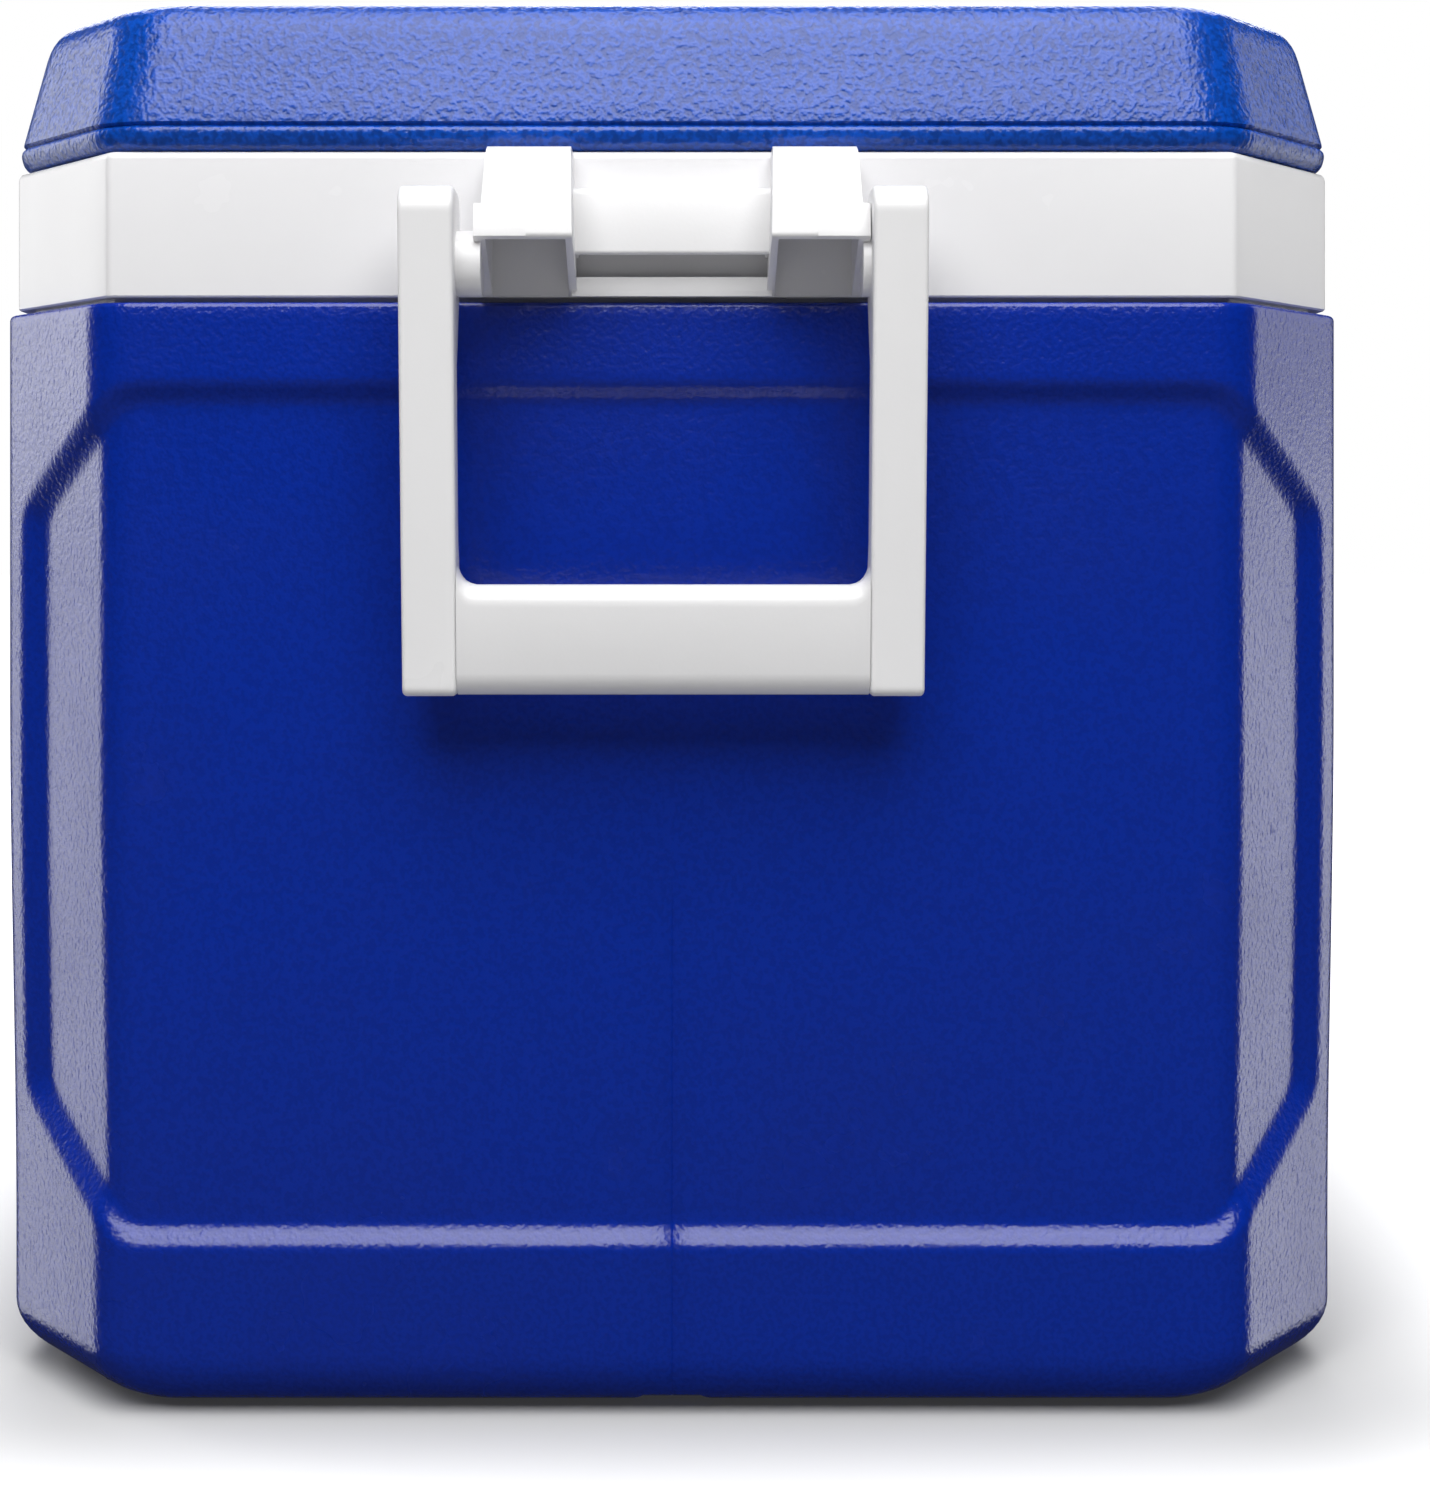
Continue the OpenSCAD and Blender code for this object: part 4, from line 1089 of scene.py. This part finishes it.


def floor_material():
    """Pale matt floor that glows to the camera alone: painted light that rises with distance from the chest,
    and a painted contact shadow close round it.
    """
    material, tree, shader, coords = new_material("studio_floor")
    is_camera = tree.nodes.new("ShaderNodeLightPath").outputs["Is Camera Ray"]
    mottle = spread(tree, noise(tree, coords, 3.0), 0.3, 0.7, 0.0, 1.0)
    pale = blend_colours(tree, mottle, (0.60, 0.60, 0.60), (0.62, 0.62, 0.62))
    seen = tree.nodes.new("ShaderNodeMix")
    seen.data_type = "RGBA"
    seen.inputs["A"].default_value = (0.35, 0.35, 0.35, 1)
    tree.links.new(pale, seen.inputs["B"])
    tree.links.new(is_camera, seen.inputs["Factor"])
    tree.links.new(seen.outputs["Result"], shader.inputs["Base Color"])
    shader.inputs["Roughness"].default_value = 0.8
    shader.inputs["Specular IOR Level"].default_value = 0.1
    shader.inputs["Emission Color"].default_value = (1, 1, 1, 1)
    away = coords
    steps = (("ABSOLUTE", None), ("SUBTRACT", FOOTPRINT), ("MAXIMUM", (0, 0, 0)), ("LENGTH", None))
    for operation, number in steps:
        step = tree.nodes.new("ShaderNodeVectorMath")
        step.operation = operation
        tree.links.new(away, step.inputs[0])
        if number:
            step.inputs[1].default_value = number
        away = step.outputs["Value" if operation == "LENGTH" else "Vector"]
    # the floor's emission is dimmed within 0.11 m of the chest as a painted contact shadow, and raised
    # farther off as painted light
    near = spread(tree, away, 0.02, 0.11, 0.03, 0.55)
    far = spread(tree, away, 0.10, 0.90, 0.0, 0.5)
    painted_glow = tree.nodes.new("ShaderNodeMath")
    painted_glow.operation = "MULTIPLY"
    tree.links.new(add(tree, near, far), painted_glow.inputs[0])
    tree.links.new(is_camera, painted_glow.inputs[1])
    tree.links.new(painted_glow.outputs[0], shader.inputs["Emission Strength"])
    return material


def make_floor():
    mesh = bpy.data.meshes.new("studio_floor")
    half = 12.0
    corners = [(-half, -half, 0), (half, -half, 0), (half, half, 0), (-half, half, 0)]
    mesh.from_pydata(corners, [], [(0, 1, 2, 3)])
    floor = bpy.data.objects.new("studio_floor", mesh)
    floor.location.z = -0.0004
    mesh.materials.append(floor_material())
    bpy.context.scene.collection.objects.link(floor)
    floor.visible_glossy = False


def make_world():
    """White to the camera, dim to everything else."""
    world = bpy.data.worlds.new("studio")
    world.use_nodes = True
    tree = world.node_tree
    seen = tree.nodes["Background"]
    seen.inputs["Color"].default_value = (1, 1, 1, 1)
    dim = tree.nodes.new("ShaderNodeBackground")
    dim.inputs["Color"].default_value = (1, 1, 1, 1)
    dim.inputs["Strength"].default_value = AMBIENT
    path = tree.nodes.new("ShaderNodeLightPath")
    mix = tree.nodes.new("ShaderNodeMixShader")
    tree.links.new(path.outputs["Is Camera Ray"], mix.inputs["Fac"])
    tree.links.new(dim.outputs[0], mix.inputs[1])
    tree.links.new(seen.outputs[0], mix.inputs[2])
    tree.links.new(mix.outputs[0], tree.nodes["World Output"].inputs["Surface"])
    bpy.context.scene.world = world


def softbox(name, place, aim, width, height, radiance):
    """A rectangular light of a given brightness, with its width level."""
    light = bpy.data.lights.new(name, "AREA")
    light.shape = "RECTANGLE"
    light.size = width
    light.size_y = height
    light.energy = radiance * math.pi * width * height
    obj = bpy.data.objects.new(name, light)
    obj.location = place
    obj.rotation_euler = (Vector(place) - Vector(aim)).to_track_quat("Z", "Y").to_euler()
    obj.visible_camera = False
    bpy.context.scene.collection.objects.link(obj)


AMBIENT = 0.03
SIDE_X, SIDE_Y, SIDE_H = -0.62, 1.70, 1.1  # place and height of the boxes that the chamfers reflect
SIDE_CORE, SIDE_HALO = (0.45, 0.75), (1.1, 0.25)  # width and share of the light: a bright core, a soft edge


def make_lights():
    """A top light on each side, one overhead, and boxes that the chamfers reflect."""
    softbox("top_front", (1.40, 0.0, 1.50), (0.30, 0.0, 0.30), 1.7, 1.2, 5.1)
    softbox("top_back", (-1.40, 0.0, 1.50), (-0.30, 0.0, 0.30), 2.0, 1.2, 4.0)
    softbox("overhead", (0.6, 0.0, 2.2), (0.3, 0.0, 0.2), 1.6, 1.2, 3.6)
    for side, high, low in ((-1, 5.0, 3.6), (1, 2.0, 3.4)):
        for width, share in (SIDE_CORE, SIDE_HALO):
            for name, z, radiance in (("side_high", 0.85, high), ("side_low", -0.25, low)):
                place = (SIDE_X, side * SIDE_Y, z)
                softbox(name, place, (0.25, side * 0.17, z), width, SIDE_H, radiance * share)


def make_camera():
    """Level, looking at the right end, as in the product view."""
    camera_data = bpy.data.cameras.new("camera")
    camera_data.lens = 64.9
    camera_data.sensor_width = 36.0
    camera_data.shift_x = 0.0287
    camera_data.shift_y = -0.1507
    camera = bpy.data.objects.new("camera", camera_data)
    camera.location = (1.045, 0.0, 0.246)
    camera.rotation_euler = (math.pi / 2, 0.0, math.pi / 2)
    bpy.context.scene.collection.objects.link(camera)
    bpy.context.scene.camera = camera


make_outer_shell()
make_rim_collar()
make_inner_liner()
make_handle_mount()
make_bail()
make_grip()
for side, x0 in (("right", HINGE_X), ("left", -HINGE_X)):
    make_hinge_base(side, x0)
    make_hinge_leaf(side, x0)
make_lid_shell()
make_lid_liner()
make_drain()
finish_kept_nodes()
make_floor()
make_world()
make_lights()
make_camera()
bpy.context.scene.view_settings.view_transform = "Standard"
